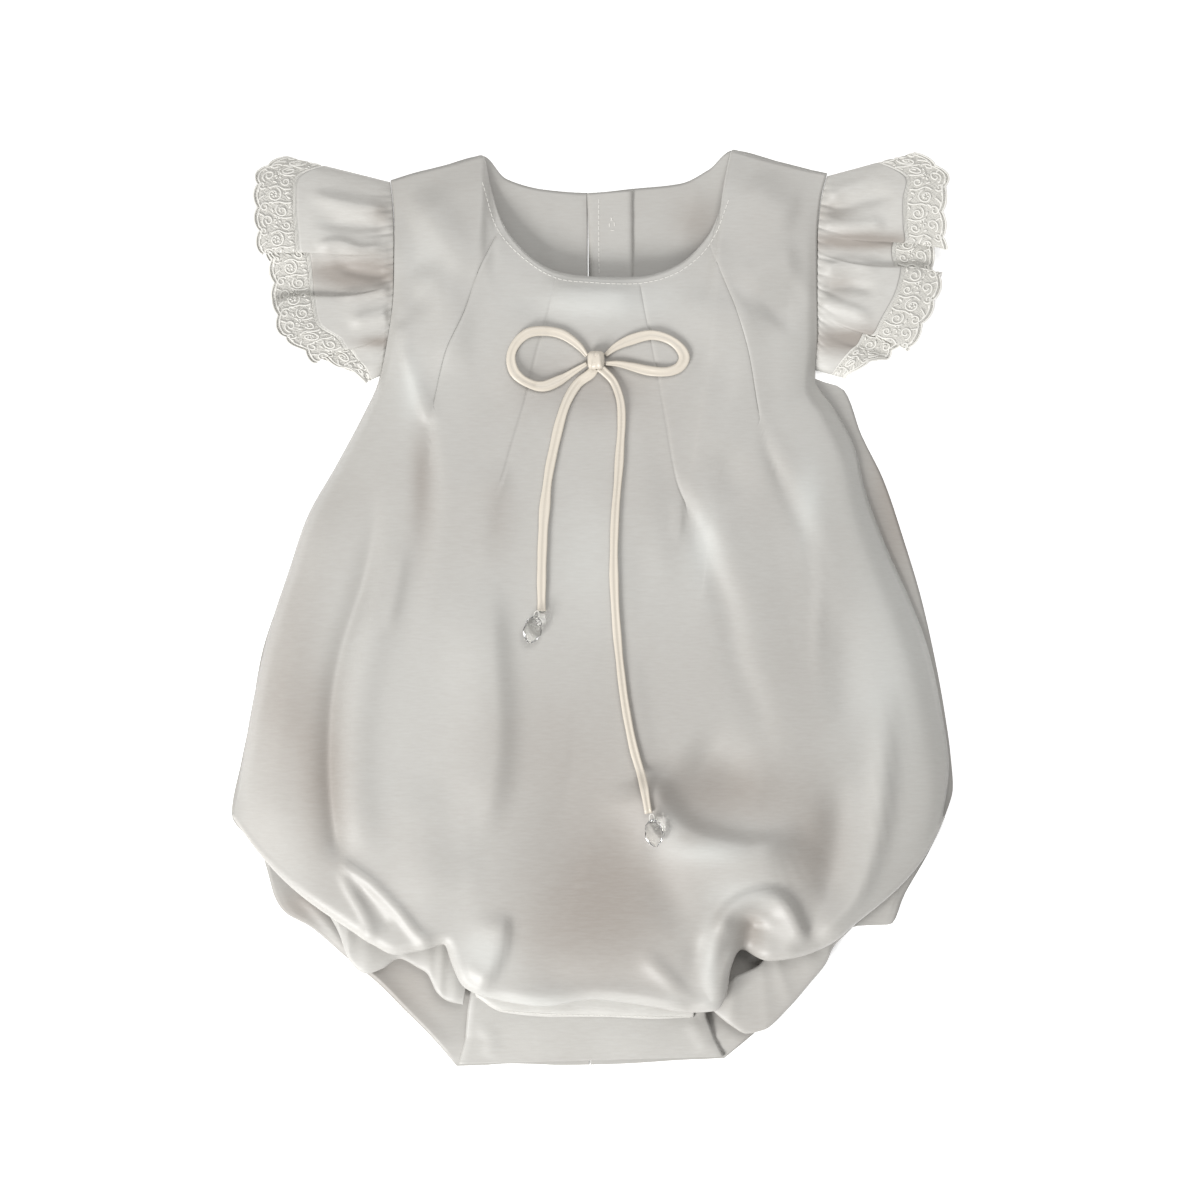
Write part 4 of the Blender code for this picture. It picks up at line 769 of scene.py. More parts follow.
def level(rows, t):
    # Values of a table at each t along its first column, by a smooth curve that never passes beyond its rows
    data = np.array(rows, dtype=float)
    keys, values = data[:, 0], data[:, 1:]
    rates = np.diff(values, axis=0) / np.diff(keys)[:, None]
    slopes = np.zeros_like(values)
    both = rates[:-1] * rates[1:] > 0
    total = rates[:-1] + rates[1:]
    slopes[1:-1] = np.where(both, 2 * rates[:-1] * rates[1:] / np.where(both, total, 1.0), 0.0)
    slopes[0], slopes[-1] = rates[0], rates[-1]
    t = np.clip(np.asarray(t, dtype=float), keys[0], keys[-1])
    i = np.clip(np.searchsorted(keys, t, side="right") - 1, 0, len(keys) - 2)
    step = (keys[i + 1] - keys[i])[..., None]
    return smooth_between(values, slopes, i, (t[..., None] - keys[i][..., None]) / step, step)


def curve_through(points, count):
    # Evenly numbered points on a smooth line through a few
    values = np.array(points, dtype=float)
    keys = np.arange(len(values), dtype=float)
    slopes = np.gradient(values, keys, axis=0)
    t = np.linspace(0, keys[-1], count)
    i = np.clip(t.astype(int), 0, len(keys) - 2)
    return smooth_between(values, slopes, i, (t - i)[:, None], 1.0)


def panel_plan(columns, sides, u, v):
    # Grid of points of a panel seen from above, blended from its four edges
    column = level(columns, u)[:, None, :]
    side = level(sides, v)[None, :, :]
    uu = np.asarray(u)[:, None, None]
    vv = np.asarray(v)[None, :, None]
    across = (1 - uu) * side[..., 0:2] + uu * side[..., 2:4]
    down = (1 - vv) * column[..., 0:2] + vv * column[..., 2:4]
    lt, lb = np.array(columns[0][1:3]), np.array(columns[0][3:5])
    rt, rb = np.array(columns[-1][1:3]), np.array(columns[-1][3:5])
    corners = (1 - uu) * ((1 - vv) * lt + vv * lb) + uu * ((1 - vv) * rt + vv * rb)
    return across + down - corners


def eased(share):
    # Soft start and end of a share between 0 and 1
    return share * share * (3 - 2 * share)


def line_field(points, x, y, samples=28):
    # Distance from a line, side of it and share along it, for a grid of places
    line = curve_through(points, samples)
    best = np.full(x.shape, 1e9)
    side = np.zeros(x.shape)
    share = np.zeros(x.shape)
    for k in range(samples - 1):
        a, step = line[k], line[k + 1] - line[k]
        size = float(step @ step)
        px, py = x - a[0], y - a[1]
        t = np.clip((px * step[0] + py * step[1]) / size, 0, 1)
        dx, dy = px - t * step[0], py - t * step[1]
        away = np.hypot(dx, dy)
        closer = away < best
        best = np.where(closer, away, best)
        side = np.where(closer, np.sign(step[0] * py - step[1] * px), side)
        share = np.where(closer, (k + t) / (samples - 1), share)
    return best, side, share


def fold_sum(folds, x, y):
    # Height that all the listed folds add over a grid of places
    total = np.zeros(x.shape)
    for _, west, east, height, start, end, points in folds:
        away, side, share = line_field(points, x, y)
        width = np.where(side >= 0, east, west)
        rise = np.clip(share / max(start, 0.01), 0, 1)
        fall = np.clip((1 - share) / max(end, 0.01), 0, 1)
        total += height * (eased(rise) * eased(fall)) * np.exp(-(away / width) ** 2)
    return total


def guide_x(guide, y):
    # Where a guide line crosses each distance along the garment
    return level([(row[0], row[guide + 1]) for row in GUIDES], y)[..., 0]


def tuck_sum(x, y):
    # Steps of the stitched tucks and the valleys and billows that they let out below
    total = np.zeros(x.shape)
    for guide, top, stop, fade_end, high, depth, billow, low_width, rise_width, far_width in TUCKS:
        gx = guide_x(guide, y)
        slope = guide_x(guide, y + 1.0) - gx
        away = (x - gx) / np.sqrt(1 + slope * slope) * high
        free = np.clip((stop + 8.0 - y) / (stop - fade_end), 0, 1)
        loose = np.clip(free * 5, 0, 1) * (1 - free) ** 1.1
        held = np.clip((y - stop + 6) / 10, 0, 1) * np.clip((top - y) / 3, 0, 1)
        step = SEWN_STEP * held * np.exp(-(away / np.where(away >= 0, SEWN_SOFT, SEWN_STEEP)) ** 2)
        seamed = np.clip((y - stop + 22) / 12, 0, 1) * np.clip((top - y) / 3, 0, 1)
        step = step - SEWN_GROOVE * seamed * np.exp(-(away / SEWN_STEEP) ** 2)
        tight = 0.45 + 0.55 * np.clip(free * 4, 0, 1)
        rise = np.exp(-(away / (rise_width * tight)) ** 2)
        beyond = -depth * rise + billow * (1 - rise) * np.exp(-(away / far_width) ** 2)
        before = -depth * np.exp(-(away / (low_width * tight)) ** 2)
        if depth == 0.0:
            beyond = billow * np.exp(-(away / far_width) ** 2)
            before = billow * np.exp(-(away / (low_width * tight)) ** 2)
        total += step + loose * np.where(away >= 0, beyond, before)
    return total


def front_base(u, v):
    # Height of the middle of the front cloth without its fine folds
    sections = level(SHOWN_SECTIONS, v)
    out = np.zeros(u.shape)
    for j in range(u.shape[1]):
        out[:, j] = level(list(zip(SHOWN_ACROSS, sections[j])), u[:, j])[:, 0]
    return out


def column_places():
    # Columns of the front's grid, close together along each guide line
    even = np.linspace(0, 1, FRONT_GRID)
    near = [key + step for key in GUIDE_KEYS for step in (-0.006, -0.003, -0.0014, 0.0, 0.0014, 0.003, 0.006)]
    places = np.unique(np.concatenate([even, near]))
    keep = [places[0]]
    for place in places[1:]:
        if place - keep[-1] > 0.0008 or place == 1.0:
            keep.append(place)
    return np.array(keep)


def front_plan(u, v):
    # Places of the front cloth seen from above, short of its rounded lower edge, and that edge's radius
    # and end
    table = np.array(LIP)
    lip = np.column_stack([np.interp(u, table[:, 0], table[:, c]) for c in (1, 2)])
    edge = panel_plan(FRONT_COLUMNS, FRONT_SIDES, u, [1.0])[:, 0]
    before = panel_plan(FRONT_COLUMNS, FRONT_SIDES, np.clip(u - 0.025, 0, 1), [1.0])[:, 0]
    after = panel_plan(FRONT_COLUMNS, FRONT_SIDES, np.clip(u + 0.025, 0, 1), [1.0])[:, 0]
    along = after - before
    along /= np.linalg.norm(along, axis=1, keepdims=True)
    outward = np.stack([along[:, 1], -along[:, 0]], axis=1)
    top = panel_plan(FRONT_COLUMNS, FRONT_SIDES, u, [0.0])[:, 0]
    radius = lip[:, 1]
    reach = 1.0 - (radius + BODY_CLOTH / 2) / np.linalg.norm(edge - top, axis=1)
    down = reach[:, None] * v[None, :]
    fine = np.linspace(0, 1, 241)
    grid = panel_plan(FRONT_COLUMNS, FRONT_SIDES, u, fine)
    plan = np.zeros((len(u), len(v), 2))
    for i in range(len(u)):
        for c in (0, 1):
            plan[i, :, c] = np.interp(down[i], fine, grid[i, :, c])
    shift = edge - outward * (radius + BODY_CLOTH / 2)[:, None] - plan[:, -1]
    share = np.clip((v - 0.35) / 0.65, 0, 1)[None, :, None]
    return plan + shift[:, None, :] * share, down, radius, outward, lip[:, 0]


def part_evenly(plan):
    # Lets the columns beside the arch of the lower edge part evenly, so that the cloth never laps over
    # itself there
    for _ in range(PARTING_ROUNDS):
        across = (plan[2:, 1:-1] - plan[:-2, 1:-1]) / 2
        along = (plan[1:-1, 2:] - plan[1:-1, :-2]) / 2
        wide = np.sum(across * across, axis=2, keepdims=True)
        long = np.sum(along * along, axis=2, keepdims=True)
        lean = np.sum(across * along, axis=2, keepdims=True)
        corners = plan[2:, 2:] - plan[2:, :-2] - plan[:-2, 2:] + plan[:-2, :-2]
        beside = long * (plan[2:, 1:-1] + plan[:-2, 1:-1]) + wide * (plan[1:-1, 2:] + plan[1:-1, :-2])
        plan[1:-1, 1:-1] = (beside - lean * corners / 2) / (2 * (wide + long) + 1e-9)


def front_points():
    # Middle of the front cloth from the neck edge to the turned-in end of the puffed lower edge. The
    # columns follow the tucks at the top and are even below them
    u = column_places()
    v = np.linspace(0, 1, FRONT_GRID)
    dense = np.linspace(0, 1, 361)
    loose, loose_down, radius, outward, turned = front_plan(dense, v)
    even = np.linspace(0, 1, len(u))
    keys = np.array([0.0, *GUIDE_KEYS, 1.0])
    guides = [guide_x(k, loose[..., 1]) for k in range(len(GUIDE_KEYS))]
    found = keys.copy()
    place_u = np.zeros((len(u), len(v)))
    down = np.zeros(place_u.shape)
    plan = np.zeros((len(u), len(v), 2))
    for j, share_down in enumerate(v):
        fade = np.clip((GUIDED_TO - share_down) / (GUIDED_TO - GUIDED_FROM), 0, 1)
        held = eased(fade)
        for k in range(len(GUIDE_KEYS)):
            past = loose[:, j, 0] - guides[k][:, j]
            meets = (past[:-1] <= 0) & (past[1:] > 0) & (loose[:-1, j, 1] <= GUIDE_STARTS[k])
            if meets.any():
                i = int(np.argmax(meets))
                found[k + 1] = dense[i] + dense[1] * -past[i] / (past[i + 1] - past[i])
        slid = keys + (found - keys) * held
        place_u[:, j] = np.interp(held * u + (1 - held) * even, keys, slid)
        down[:, j] = np.interp(place_u[:, j], dense, loose_down[:, j])
        for c in (0, 1):
            plan[:, j, c] = np.interp(place_u[:, j], dense, loose[:, j, c])
    first, last = (int(part * (len(u) - 1)) for part in PARTED[0:2])
    part_evenly(plan[first:last, int(PARTED[2] * len(v)):])
    radius = np.interp(even, dense, radius)
    outward = np.column_stack([np.interp(even, dense, outward[:, c]) for c in (0, 1)])
    turned = np.interp(even, dense, turned)
    x, y = plan[..., 0], plan[..., 1]
    calm = np.clip(place_u / 0.05, 0, 1) * np.clip((1 - place_u) / 0.05, 0, 1)
    calm *= np.clip(down / 0.03 + 0.25, 0, 1)
    z = front_base(place_u, v) + (fold_sum(FRONT_FOLDS, x, y) + tuck_sum(x, y)) * calm
    body = np.dstack([x, y, z])
    start = body[:, -1]
    centre = start[:, 2] - radius
    lip_rows = []
    for k in range(1, LIP_STEPS + 1):
        angle = pi * k / LIP_STEPS
        low = max(0.0, -cos(angle))
        height = centre + radius * cos(angle) if angle <= pi / 2 else centre - (centre - turned) * low
        flat = start[:, 0:2] + outward * (radius * sin(angle))[:, None]
        lip_rows.append(np.column_stack([flat, height]))
    flat = start[:, 0:2] - outward * np.minimum(TUCK_IN, radius)[:, None]
    lip_rows.append(np.column_stack([flat, turned]))
    return np.concatenate([body, np.stack(lip_rows, axis=1)], axis=1)


def grid_normals(grid, ring=False):
    # Directions square to a grid of points, which may close on itself
    if ring:
        du = np.roll(grid, -1, axis=0) - np.roll(grid, 1, axis=0)
    else:
        du = np.gradient(grid, axis=0)
    dv = np.gradient(grid, axis=1)
    normals = np.cross(du, dv)
    return normals / np.maximum(np.linalg.norm(normals, axis=2, keepdims=True), 1e-9)


def shell_faces(nu, nv, ring=False):
    # Faces of the upper and lower skin of a cloth and of its edges. A ring closes on itself
    count = nu * nv
    faces = []
    for i in range(nu if ring else nu - 1):
        n = (i + 1) % nu
        for j in range(nv - 1):
            a, b, c, d = i * nv + j, n * nv + j, n * nv + j + 1, i * nv + j + 1
            faces.append((a, b, c, d))
            faces.append((d + count, c + count, b + count, a + count))
        for j in (0, nv - 1):
            a, b = i * nv + j, n * nv + j
            faces.append((a, a + count, b + count, b) if j == 0 else (b, b + count, a + count, a))
    if not ring:
        for i in (0, nu - 1):
            for j in range(nv - 1):
                a, b = i * nv + j, i * nv + j + 1
                faces.append((b, b + count, a + count, a) if i == 0 else (a, a + count, b + count, b))
    return faces


def shell(name, grid, normals, thickness, material, ring=False):
    # Thin closed shell of cloth whose middle is the grid, in millimetres
    above = (grid + normals * thickness / 2).reshape(-1, 3)
    below = (grid - normals * thickness / 2).reshape(-1, 3)
    made = shell_faces(grid.shape[0], grid.shape[1], ring)
    return mesh_piece(name, np.concatenate([above, below]), made, material)


def mesh_piece(name, points, faces, material, smooth=True):
    # One piece from points in millimetres, with its faces turned outwards
    mesh = bpy.data.meshes.new(name)
    mesh.from_pydata((np.asarray(points) * MM).tolist(), [], faces)
    work = bmesh.new()
    work.from_mesh(mesh)
    bmesh.ops.recalc_face_normals(work, faces=work.faces)
    if work.calc_volume(signed=True) < 0:
        bmesh.ops.reverse_faces(work, faces=work.faces)
    work.to_mesh(mesh)
    work.free()
    mesh.polygons.foreach_set("use_smooth", [smooth] * len(mesh.polygons))
    mesh.materials.append(material)
    piece = bpy.data.objects.new(name, mesh)
    bpy.context.scene.collection.objects.link(piece)
    return piece


def settle(piece, node):
    # The piece stands for its solid and moves with the only body
    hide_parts(node)
    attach(piece, "root")


def surface_tree(piece):
    # A piece's surface, ready to be asked what lies under a place
    mesh = piece.data
    places = [v.co.copy() for v in mesh.vertices]
    return BVHTree.FromPolygons(places, [tuple(p.vertices) for p in mesh.polygons])


def top_under(tree, x, y, radius):
    # Highest point of a surface within a radius of a place, in millimetres
    best = 0.0
    for k in range(9):
        reach = radius if k < 8 else 0.0
        origin = Vector(((x + reach * cos(pi * k / 4)) * MM, (y + reach * sin(pi * k / 4)) * MM, 1.0))
        hit = tree.ray_cast(origin, Vector((0.0, 0.0, -1.0)))
        if hit[0] is not None:
            best = max(best, hit[0].z / MM)
    return best


def above_front(tree, x, y, radius):
    # Height at which a hard trim lies over the front
    return top_under(tree, x, y, radius) + LAYER_GAP + TRIM_GAP


def add_node(tree, kind, inputs=None, links=None, **fields):
    # Adds a node with its settings, values and incoming links
    node = tree.nodes.new(kind)
    for key, value in fields.items():
        setattr(node, key, value)
    for key, value in (inputs or {}).items():
        node.inputs[key].default_value = value
    for key, value in (links or {}).items():
        tree.links.new(value, node.inputs[key])
    return node


def new_material(name):
    # A material with its node tree and its surface shader
    material = bpy.data.materials.new(name)
    material.use_nodes = True
    tree = material.node_tree
    return material, tree, tree.nodes["Principled BSDF"]


def cloth_material(name, base, shade, roughness, sheen, weave_depth, turn=0.0, gloss=0.5):
    # Woven satin: long floats give a soft directional gloss, the fine horizontal ribs show as faint lines,
    # the tone drifts a little at random, and a point attribute paints shade and highlights into it
    material, tree, shader = new_material(name)
    place = add_node(tree, "ShaderNodeTexCoord").outputs["Object"]
    drift = add_node(
        tree, "ShaderNodeTexNoise", {"Scale": 14.0, "Detail": 2.0, "Roughness": 0.4}, {"Vector": place})
    # Painted shade and painted highlights, from the point attribute
    shade_paint = add_node(tree, "ShaderNodeAttribute", attribute_name="painted_shade_light").outputs["Fac"]
    drifted = add_node(
        tree, "ShaderNodeMapRange", {"From Min": 0.35, "From Max": 0.75, "To Min": -0.05, "To Max": 0.15},
        {"Value": drift.outputs["Fac"]})
    # Thread spacing: a real satin has about 40 threads a centimetre, too fine to show, so it is drawn coarser
    spacing = settings().weave
    turned = add_node(
        tree, "ShaderNodeMapping",
        {"Rotation": (0.0, 0.0, turn), "Scale": (0.16 / spacing, 1.0 / spacing, 0.2 / spacing)},
        {"Vector": place})
    ribs = add_node(
        tree, "ShaderNodeTexNoise", {"Scale": 1.0, "Detail": 3.0, "Roughness": 0.7},
        {"Vector": turned.outputs["Vector"]})
    slub = add_node(
        tree, "ShaderNodeMapRange",
        {"From Min": 0.3, "From Max": 0.7, "To Min": -SLUB_TONE, "To Max": SLUB_TONE},
        {"Value": ribs.outputs["Fac"]})
    uneven = add_node(
        tree, "ShaderNodeMath", {}, {0: drifted.outputs["Result"], 1: slub.outputs["Result"]},
        operation="ADD")
    both = add_node(
        tree, "ShaderNodeMath", {}, {0: uneven.outputs["Value"], 1: shade_paint}, operation="ADD", use_clamp=True)
    mixed = add_node(
        tree, "ShaderNodeMix", {6: (*base, 1.0), 7: (*shade, 1.0)}, {0: both.outputs["Value"]},
        data_type="RGBA")
    tree.links.new(mixed.outputs[2], shader.inputs["Base Color"])
    bump = add_node(
        tree, "ShaderNodeBump", {"Strength": 0.5, "Distance": weave_depth}, {"Height": ribs.outputs["Fac"]})
    tree.links.new(bump.outputs["Normal"], shader.inputs["Normal"])
    shader.inputs["Roughness"].default_value = roughness
    shader.inputs["Specular IOR Level"].default_value = gloss
    shader.inputs["Sheen Weight"].default_value = sheen
    shader.inputs["Sheen Roughness"].default_value = 0.35
    shader.inputs["IOR"].default_value = 1.5
    return material


def satin_material(name, finish):
    # Satin of the body and sleeves, with its ribs turned along the piece
    own = settings()
    turn, roughness, tone = FINISHES[finish]
    # The tone makes lighter and darker copies of the one satin: painted light and painted shade
    base = [c * tone for c in own.satin]
    return cloth_material(name, base, own.satin_painted_shade, roughness, SATIN_SHEEN, SATIN_RELIEF, turn, SATIN_GLOSS)


def strap_material():
    # Folded polyester satin strap: smoother and creamier than the body, with a tight gloss along its edges
    own = settings()
    return cloth_material("strap satin folded", own.strap, colour_of("AC9F8D"), 0.38, 0.1, 0.00004, 0.0, 0.5)


def lace_material(name, code):
    # Cotton thread twisted and matte: soft edges and no gloss
    material, tree, shader = new_material(name)
    place = add_node(tree, "ShaderNodeTexCoord").outputs["Object"]
    twist = add_node(tree, "ShaderNodeTexNoise", {"Scale": 2600.0, "Detail": 1.0}, {"Vector": place})
    bump = add_node(
        tree, "ShaderNodeBump", {"Strength": 0.3, "Distance": 0.00006}, {"Height": twist.outputs["Fac"]})
    tree.links.new(bump.outputs["Normal"], shader.inputs["Normal"])
    shader.inputs["Base Color"].default_value = (*code, 1.0)
    shader.inputs["Roughness"].default_value = 0.75
    shader.inputs["Sheen Weight"].default_value = 0.25
    return material


def crystal_material():
    # Clear cut glass, polished facets: bright edges and the cloth showing through
    material, tree, shader = new_material("crystal cut glass")
    place = add_node(tree, "ShaderNodeTexCoord").outputs["Object"]
    haze = add_node(tree, "ShaderNodeTexNoise", {"Scale": 900.0, "Detail": 1.0}, {"Vector": place})
    rough = add_node(
        tree, "ShaderNodeMapRange", {"To Min": 0.0, "To Max": 0.05}, {"Value": haze.outputs["Fac"]})
    tree.links.new(rough.outputs["Result"], shader.inputs["Roughness"])
    shader.inputs["Base Color"].default_value = (0.98, 0.98, 0.97, 1.0)
    shader.inputs["Transmission Weight"].default_value = 1.0
    shader.inputs["IOR"].default_value = 1.28
    return material


def paint_shade_and_light(piece, spots):
    # Painted shade and painted highlights in soft spots, as a point attribute that the satin reads
    mesh = piece.data
    co = np.zeros(len(mesh.vertices) * 3)
    mesh.vertices.foreach_get("co", co)
    co = co.reshape(-1, 3) / MM
    total = np.full(len(co), PAINTED_SHADE_LEVEL)
    for _, x, y, wide, tall, strength in spots:
        total += strength * np.exp(-((co[:, 0] - x) / wide) ** 2 - ((co[:, 1] - y) / tall) ** 2)
    attribute = mesh.attributes.new("painted_shade_light", "FLOAT", "POINT")
    attribute.data.foreach_set("value", np.clip(total, 0, 1))


def armhole_x(side, y):
    # Where the armhole seam crosses a distance along the garment
    column = 0 if side == "left" else 2
    found = level(FRONT_SIDES, np.linspace(0, UNDERARM, 41))
    order = np.argsort(found[:, column + 1])
    return np.interp(y, found[order, column + 1], found[order, column])


def soft_noise(x, y, seed, size):
    # Smooth uneven numbers between about -1 and 1 over places, the same at every run
    draw = np.random.default_rng(seed)
    total = np.zeros(np.shape(x))
    for k in range(7):
        angle = draw.uniform(0, pi)
        wave = draw.uniform(0.7, 1.6) * size
        phase = draw.uniform(0, 2 * pi)
        total = total + np.sin((x * cos(angle) + y * sin(angle)) * 2 * pi / wave + phase)
    return total / 3.2


def back_points(first, last):
    # Middle of one back half, flat underneath with soft wrinkles where it shows
    u = np.linspace(first, last, BACK_GRID[0])
    v = np.linspace(0, 1, BACK_GRID[1])
    plan = panel_plan(BACK_COLUMNS, BACK_SIDES, u, v)
    middle = panel_plan(BACK_COLUMNS, BACK_SIDES, [BACK_SPLIT], v)[0]
    centre = [row for row in BACK_COLUMNS if row[0] == BACK_SPLIT][0]
    straight_x = centre[1] + (centre[3] - centre[1]) * v
    width = BACK_SPLIT if first == 0 else 1 - BACK_SPLIT
    near = 1 - abs(u - BACK_SPLIT) / width
    plan[..., 0] += near[:, None] * (straight_x - middle[:, 0])[None, :]
    shift = SEAM_GAP / 2 if first > 0 else -SEAM_GAP / 2
    plan[..., 0] += shift * (near[:, None] > 0.999)
    side = "left" if first == 0 else "right"
    edge = 0 if first == 0 else -1
    underarm = level(FRONT_SIDES, [UNDERARM])[0][1 if side == "left" else 3]
    high = plan[edge, :, 1] > underarm
    wanted = armhole_x(side, plan[edge, :, 1])
    move = np.where(high, wanted - plan[edge, :, 0], 0.0)
    reach = (np.arange(len(u)) / 8.0) if first == 0 else (np.arange(len(u))[::-1] / 8.0)
    plan[..., 0] += move[None, :] * np.clip(1 - reach, 0, 1)[:, None]
    return plan


def two_skin(name, plan, low, high, material):
    # Closed cloth between a flat underside and a shaped top
    above = np.dstack([plan, high]).reshape(-1, 3)
    below = np.dstack([plan, low]).reshape(-1, 3)
    return mesh_piece(name, np.concatenate([above, below]), shell_faces(*high.shape), material)


def ruled(rows, count, keyed=True, smooth=True):
    # Evenly spaced rows of a strip's table. One without a first column of keys is keyed by its row numbers
    if not keyed:
        rows = [(float(k), *row) for k, row in enumerate(rows)]
    data = np.array(rows, dtype=float)
    t = np.linspace(data[0, 0], data[-1, 0], count)
    if smooth:
        return level(rows, t)
    return np.stack([np.interp(t, data[:, 0], data[:, c]) for c in range(1, data.shape[1])], axis=1)


def lengths_along(line):
    # Distance from the first point of a line to each of its points
    return np.concatenate([[0], np.cumsum(np.linalg.norm(np.diff(line, axis=0), axis=1))])


def strip_plan(rows, share):
    # Places between the two edges of a strip, seen from above, with a line of them for each row
    return rows[:, None, 0:2] + (rows[:, None, 2:4] - rows[:, None, 0:2]) * share[None, :, None]


def sleeve_grid(side, rows, outward):
    # Fine grid of a sleeve with its lace, from the armhole to the outer edge, all round
    table = np.array(rows, dtype=float)
    n = len(table)
    lines = []
    for i in range(n):
        p0, p1, p2, p3 = table[i - 1], table[i], table[(i + 1) % n], table[(i + 2) % n]
        steps = max(4, round(abs(p2[0] - p1[0]) / SLEEVE_FINE)) if i < FRONT_FOLD_ROWS - 1 else 16
        for k in range(steps):
            s = k / steps
            lines.append(0.5 * (2 * p1 + (p2 - p0) * s + (2 * p0 - 5 * p1 + 4 * p2 - p3) * s ** 2
                                + (3 * p1 - p0 - 3 * p2 + p3) * s ** 3))
    lines = np.array(lines)
    seam_x = armhole_x(side, lines[:, 0]) + outward * SEAM_GAP
    seam = np.column_stack([seam_x, lines[:, 0], np.maximum(lines[:, 1], UNDERSIDE)])
    edge = np.column_stack([lines[:, 2], lines[:, 3], np.maximum(lines[:, 4], UNDERSIDE)])
    length = np.linalg.norm(edge[:, :2] - seam[:, :2], axis=1)
    lace = np.minimum(LACE_WIDTH / length, 0.45)
    top, bottom = rows[0][0], rows[FRONT_FOLD_ROWS - 1][0]
    down = (top - lines[:, 0]) / (top - bottom)
    calm = np.clip((seam[:, 2] - 2.0) / 2.0, 0, 1)

    def at(share):
        # Line of points round the sleeve, at a share of the way from the armhole to the outer edge
        point = seam + (edge - seam) * share[:, None]
        point[:, 2] = seam[:, 2] + (edge[:, 2] - seam[:, 2]) * share ** 0.75
        lift = np.zeros(len(lines))
        for place, depth, reach in GATHER_LINES:
            fade = np.clip(1 - share / reach, 0, 1) ** 1.2
            spread = GATHER_WIDTH * (1 + 3.0 * share)
            lift -= depth * fade * np.exp(-((down - place) / spread) ** 2)
        puff = np.clip(share / 0.06, 0, 1) * np.clip(1 - share / 0.7, 0, 1)
        lift += 0.55 * puff
        point[:, 2] += GATHER_SIZE * lift * calm
        point[:, 1] -= SLEEVE_WAVE * np.sin(1.8 * pi * share) * calm
        folds = fold_sum(SLEEVE_FOLDS[side], point[:, 0], point[:, 1])
        point[:, 2] += folds * calm * np.clip(share / 0.05, 0, 1)
        ripple = soft_noise(point[:, 0], point[:, 1], 5 if side == "left" else 9, 26.0)
        point[:, 2] += 0.3 * ripple * calm * np.clip(share / 0.3, 0, 1)
        point[:, 2] = np.maximum(point[:, 2], UNDERSIDE)
        return point

    satin = np.stack([at((1.0 - lace) * k ** 1.2) for k in np.linspace(0, 1, 46)], axis=1)
    strip = np.stack([at((1.0 - lace) + lace * k) for k in np.linspace(0.0, 1.0, 12)], axis=1)
    return satin, strip


class Threads:
    """Collects round threads laid on a strip of cloth"""

    def __init__(self, strip):
        self.strip = strip
        middle = strip[:, strip.shape[1] // 2]
        self.along = lengths_along(np.vstack([middle, middle[:1]]))
        self.length = float(self.along[-1])
        normals = grid_normals(strip, ring=True)
        upper = strip[..., 2] > np.median(strip[..., 2])
        self.normals = normals * (1.0 if normals[upper][:, 2].sum() > 0 else -1.0)
        self.points, self.faces, self.count = [], [], 0

    def place(self, s, t, lift=0.0):
        # Point and direction square to the strip, at a distance along it and a share across it
        n, m = self.strip.shape[0], self.strip.shape[1]
        s = np.mod(s, self.length)
        i = np.clip(np.searchsorted(self.along, s, side="right") - 1, 0, n - 1)
        f = ((s - self.along[i]) / np.maximum(self.along[i + 1] - self.along[i], 1e-9))[:, None]
        w = np.clip(t, 0, 1) * (m - 1)
        j = np.clip(w.astype(int), 0, m - 2)
        g = (w - j)[:, None]
        k = (i + 1) % n

        def blend(grid):
            return ((1 - f) * ((1 - g) * grid[i, j] + g * grid[i, j + 1])
                    + f * ((1 - g) * grid[k, j] + g * grid[k, j + 1]))
        normal = blend(self.normals)
        normal /= np.maximum(np.linalg.norm(normal, axis=1, keepdims=True), 1e-9)
        point = blend(self.strip)
        return point + normal * lift, normal

    def thread(self, s, t, radius, sides=4, closed=False, lift=0.0, flat=1.0):
        # Tube along distances s and shares t of the strip
        line, normal = self.place(np.asarray(s, float), np.asarray(t, float), lift)
        if closed:
            ahead = np.roll(line, -1, axis=0) - np.roll(line, 1, axis=0)
        else:
            ahead = np.gradient(line, axis=0)
        ahead /= np.maximum(np.linalg.norm(ahead, axis=1, keepdims=True), 1e-9)
        aside = np.cross(ahead, normal)
        aside /= np.maximum(np.linalg.norm(aside, axis=1, keepdims=True), 1e-9)
        up = np.cross(aside, ahead)
        turn = 2 * pi * (np.arange(sides) + 0.5) / sides
        ring = (line[:, None, :] + radius * np.cos(turn)[None, :, None] * aside[:, None, :]
                + flat * radius * np.sin(turn)[None, :, None] * up[:, None, :])
        self.points.append(ring.reshape(-1, 3))
        self.faces += tube_faces(len(line), sides, closed, self.count)
        self.count += len(line) * sides

    def petal(self, s, t, long, wide, turn, width):
        # Small raised leaf of close stitches
        sides = 10
        around = 2 * pi * np.arange(sides) / sides
        px = long / 2 * np.cos(around)
        py = wide / 2 * np.sin(around) * (0.75 + 0.25 * np.cos(around))
        ds = px * cos(turn) - py * sin(turn)
        dt = px * sin(turn) + py * cos(turn)
        rim, normal = self.place(s + ds, t + dt / width)
        middle, lift = self.place(np.array([s]), np.array([t]))
        start = self.count
        crown = rim * 0.55 + middle * 0.45 + normal * PETAL_RISE
        under = middle - lift * 0.1
        self.points += [rim, crown, under]
        for k in range(sides):
            q = (k + 1) % sides
            self.faces.append((start + k, start + q, start + sides + q, start + sides + k))
            self.faces.append((start + q, start + k, start + 2 * sides))
        self.faces.append(tuple(start + sides + k for k in range(sides)))
        self.count += 2 * sides + 1

    def make(self, name, material):
        return mesh_piece(name, np.concatenate(self.points), self.faces, material)


def spiral(centre, radius, inner, turns, start, hand, count):
    # Points of a scroll that winds inwards
    share = np.linspace(0, 1, count)
    reach = radius + (inner - radius) * share ** 0.8
    angle = start + hand * 2 * pi * turns * share
    return centre[0] + reach * np.cos(angle), centre[1] + reach * np.sin(angle)


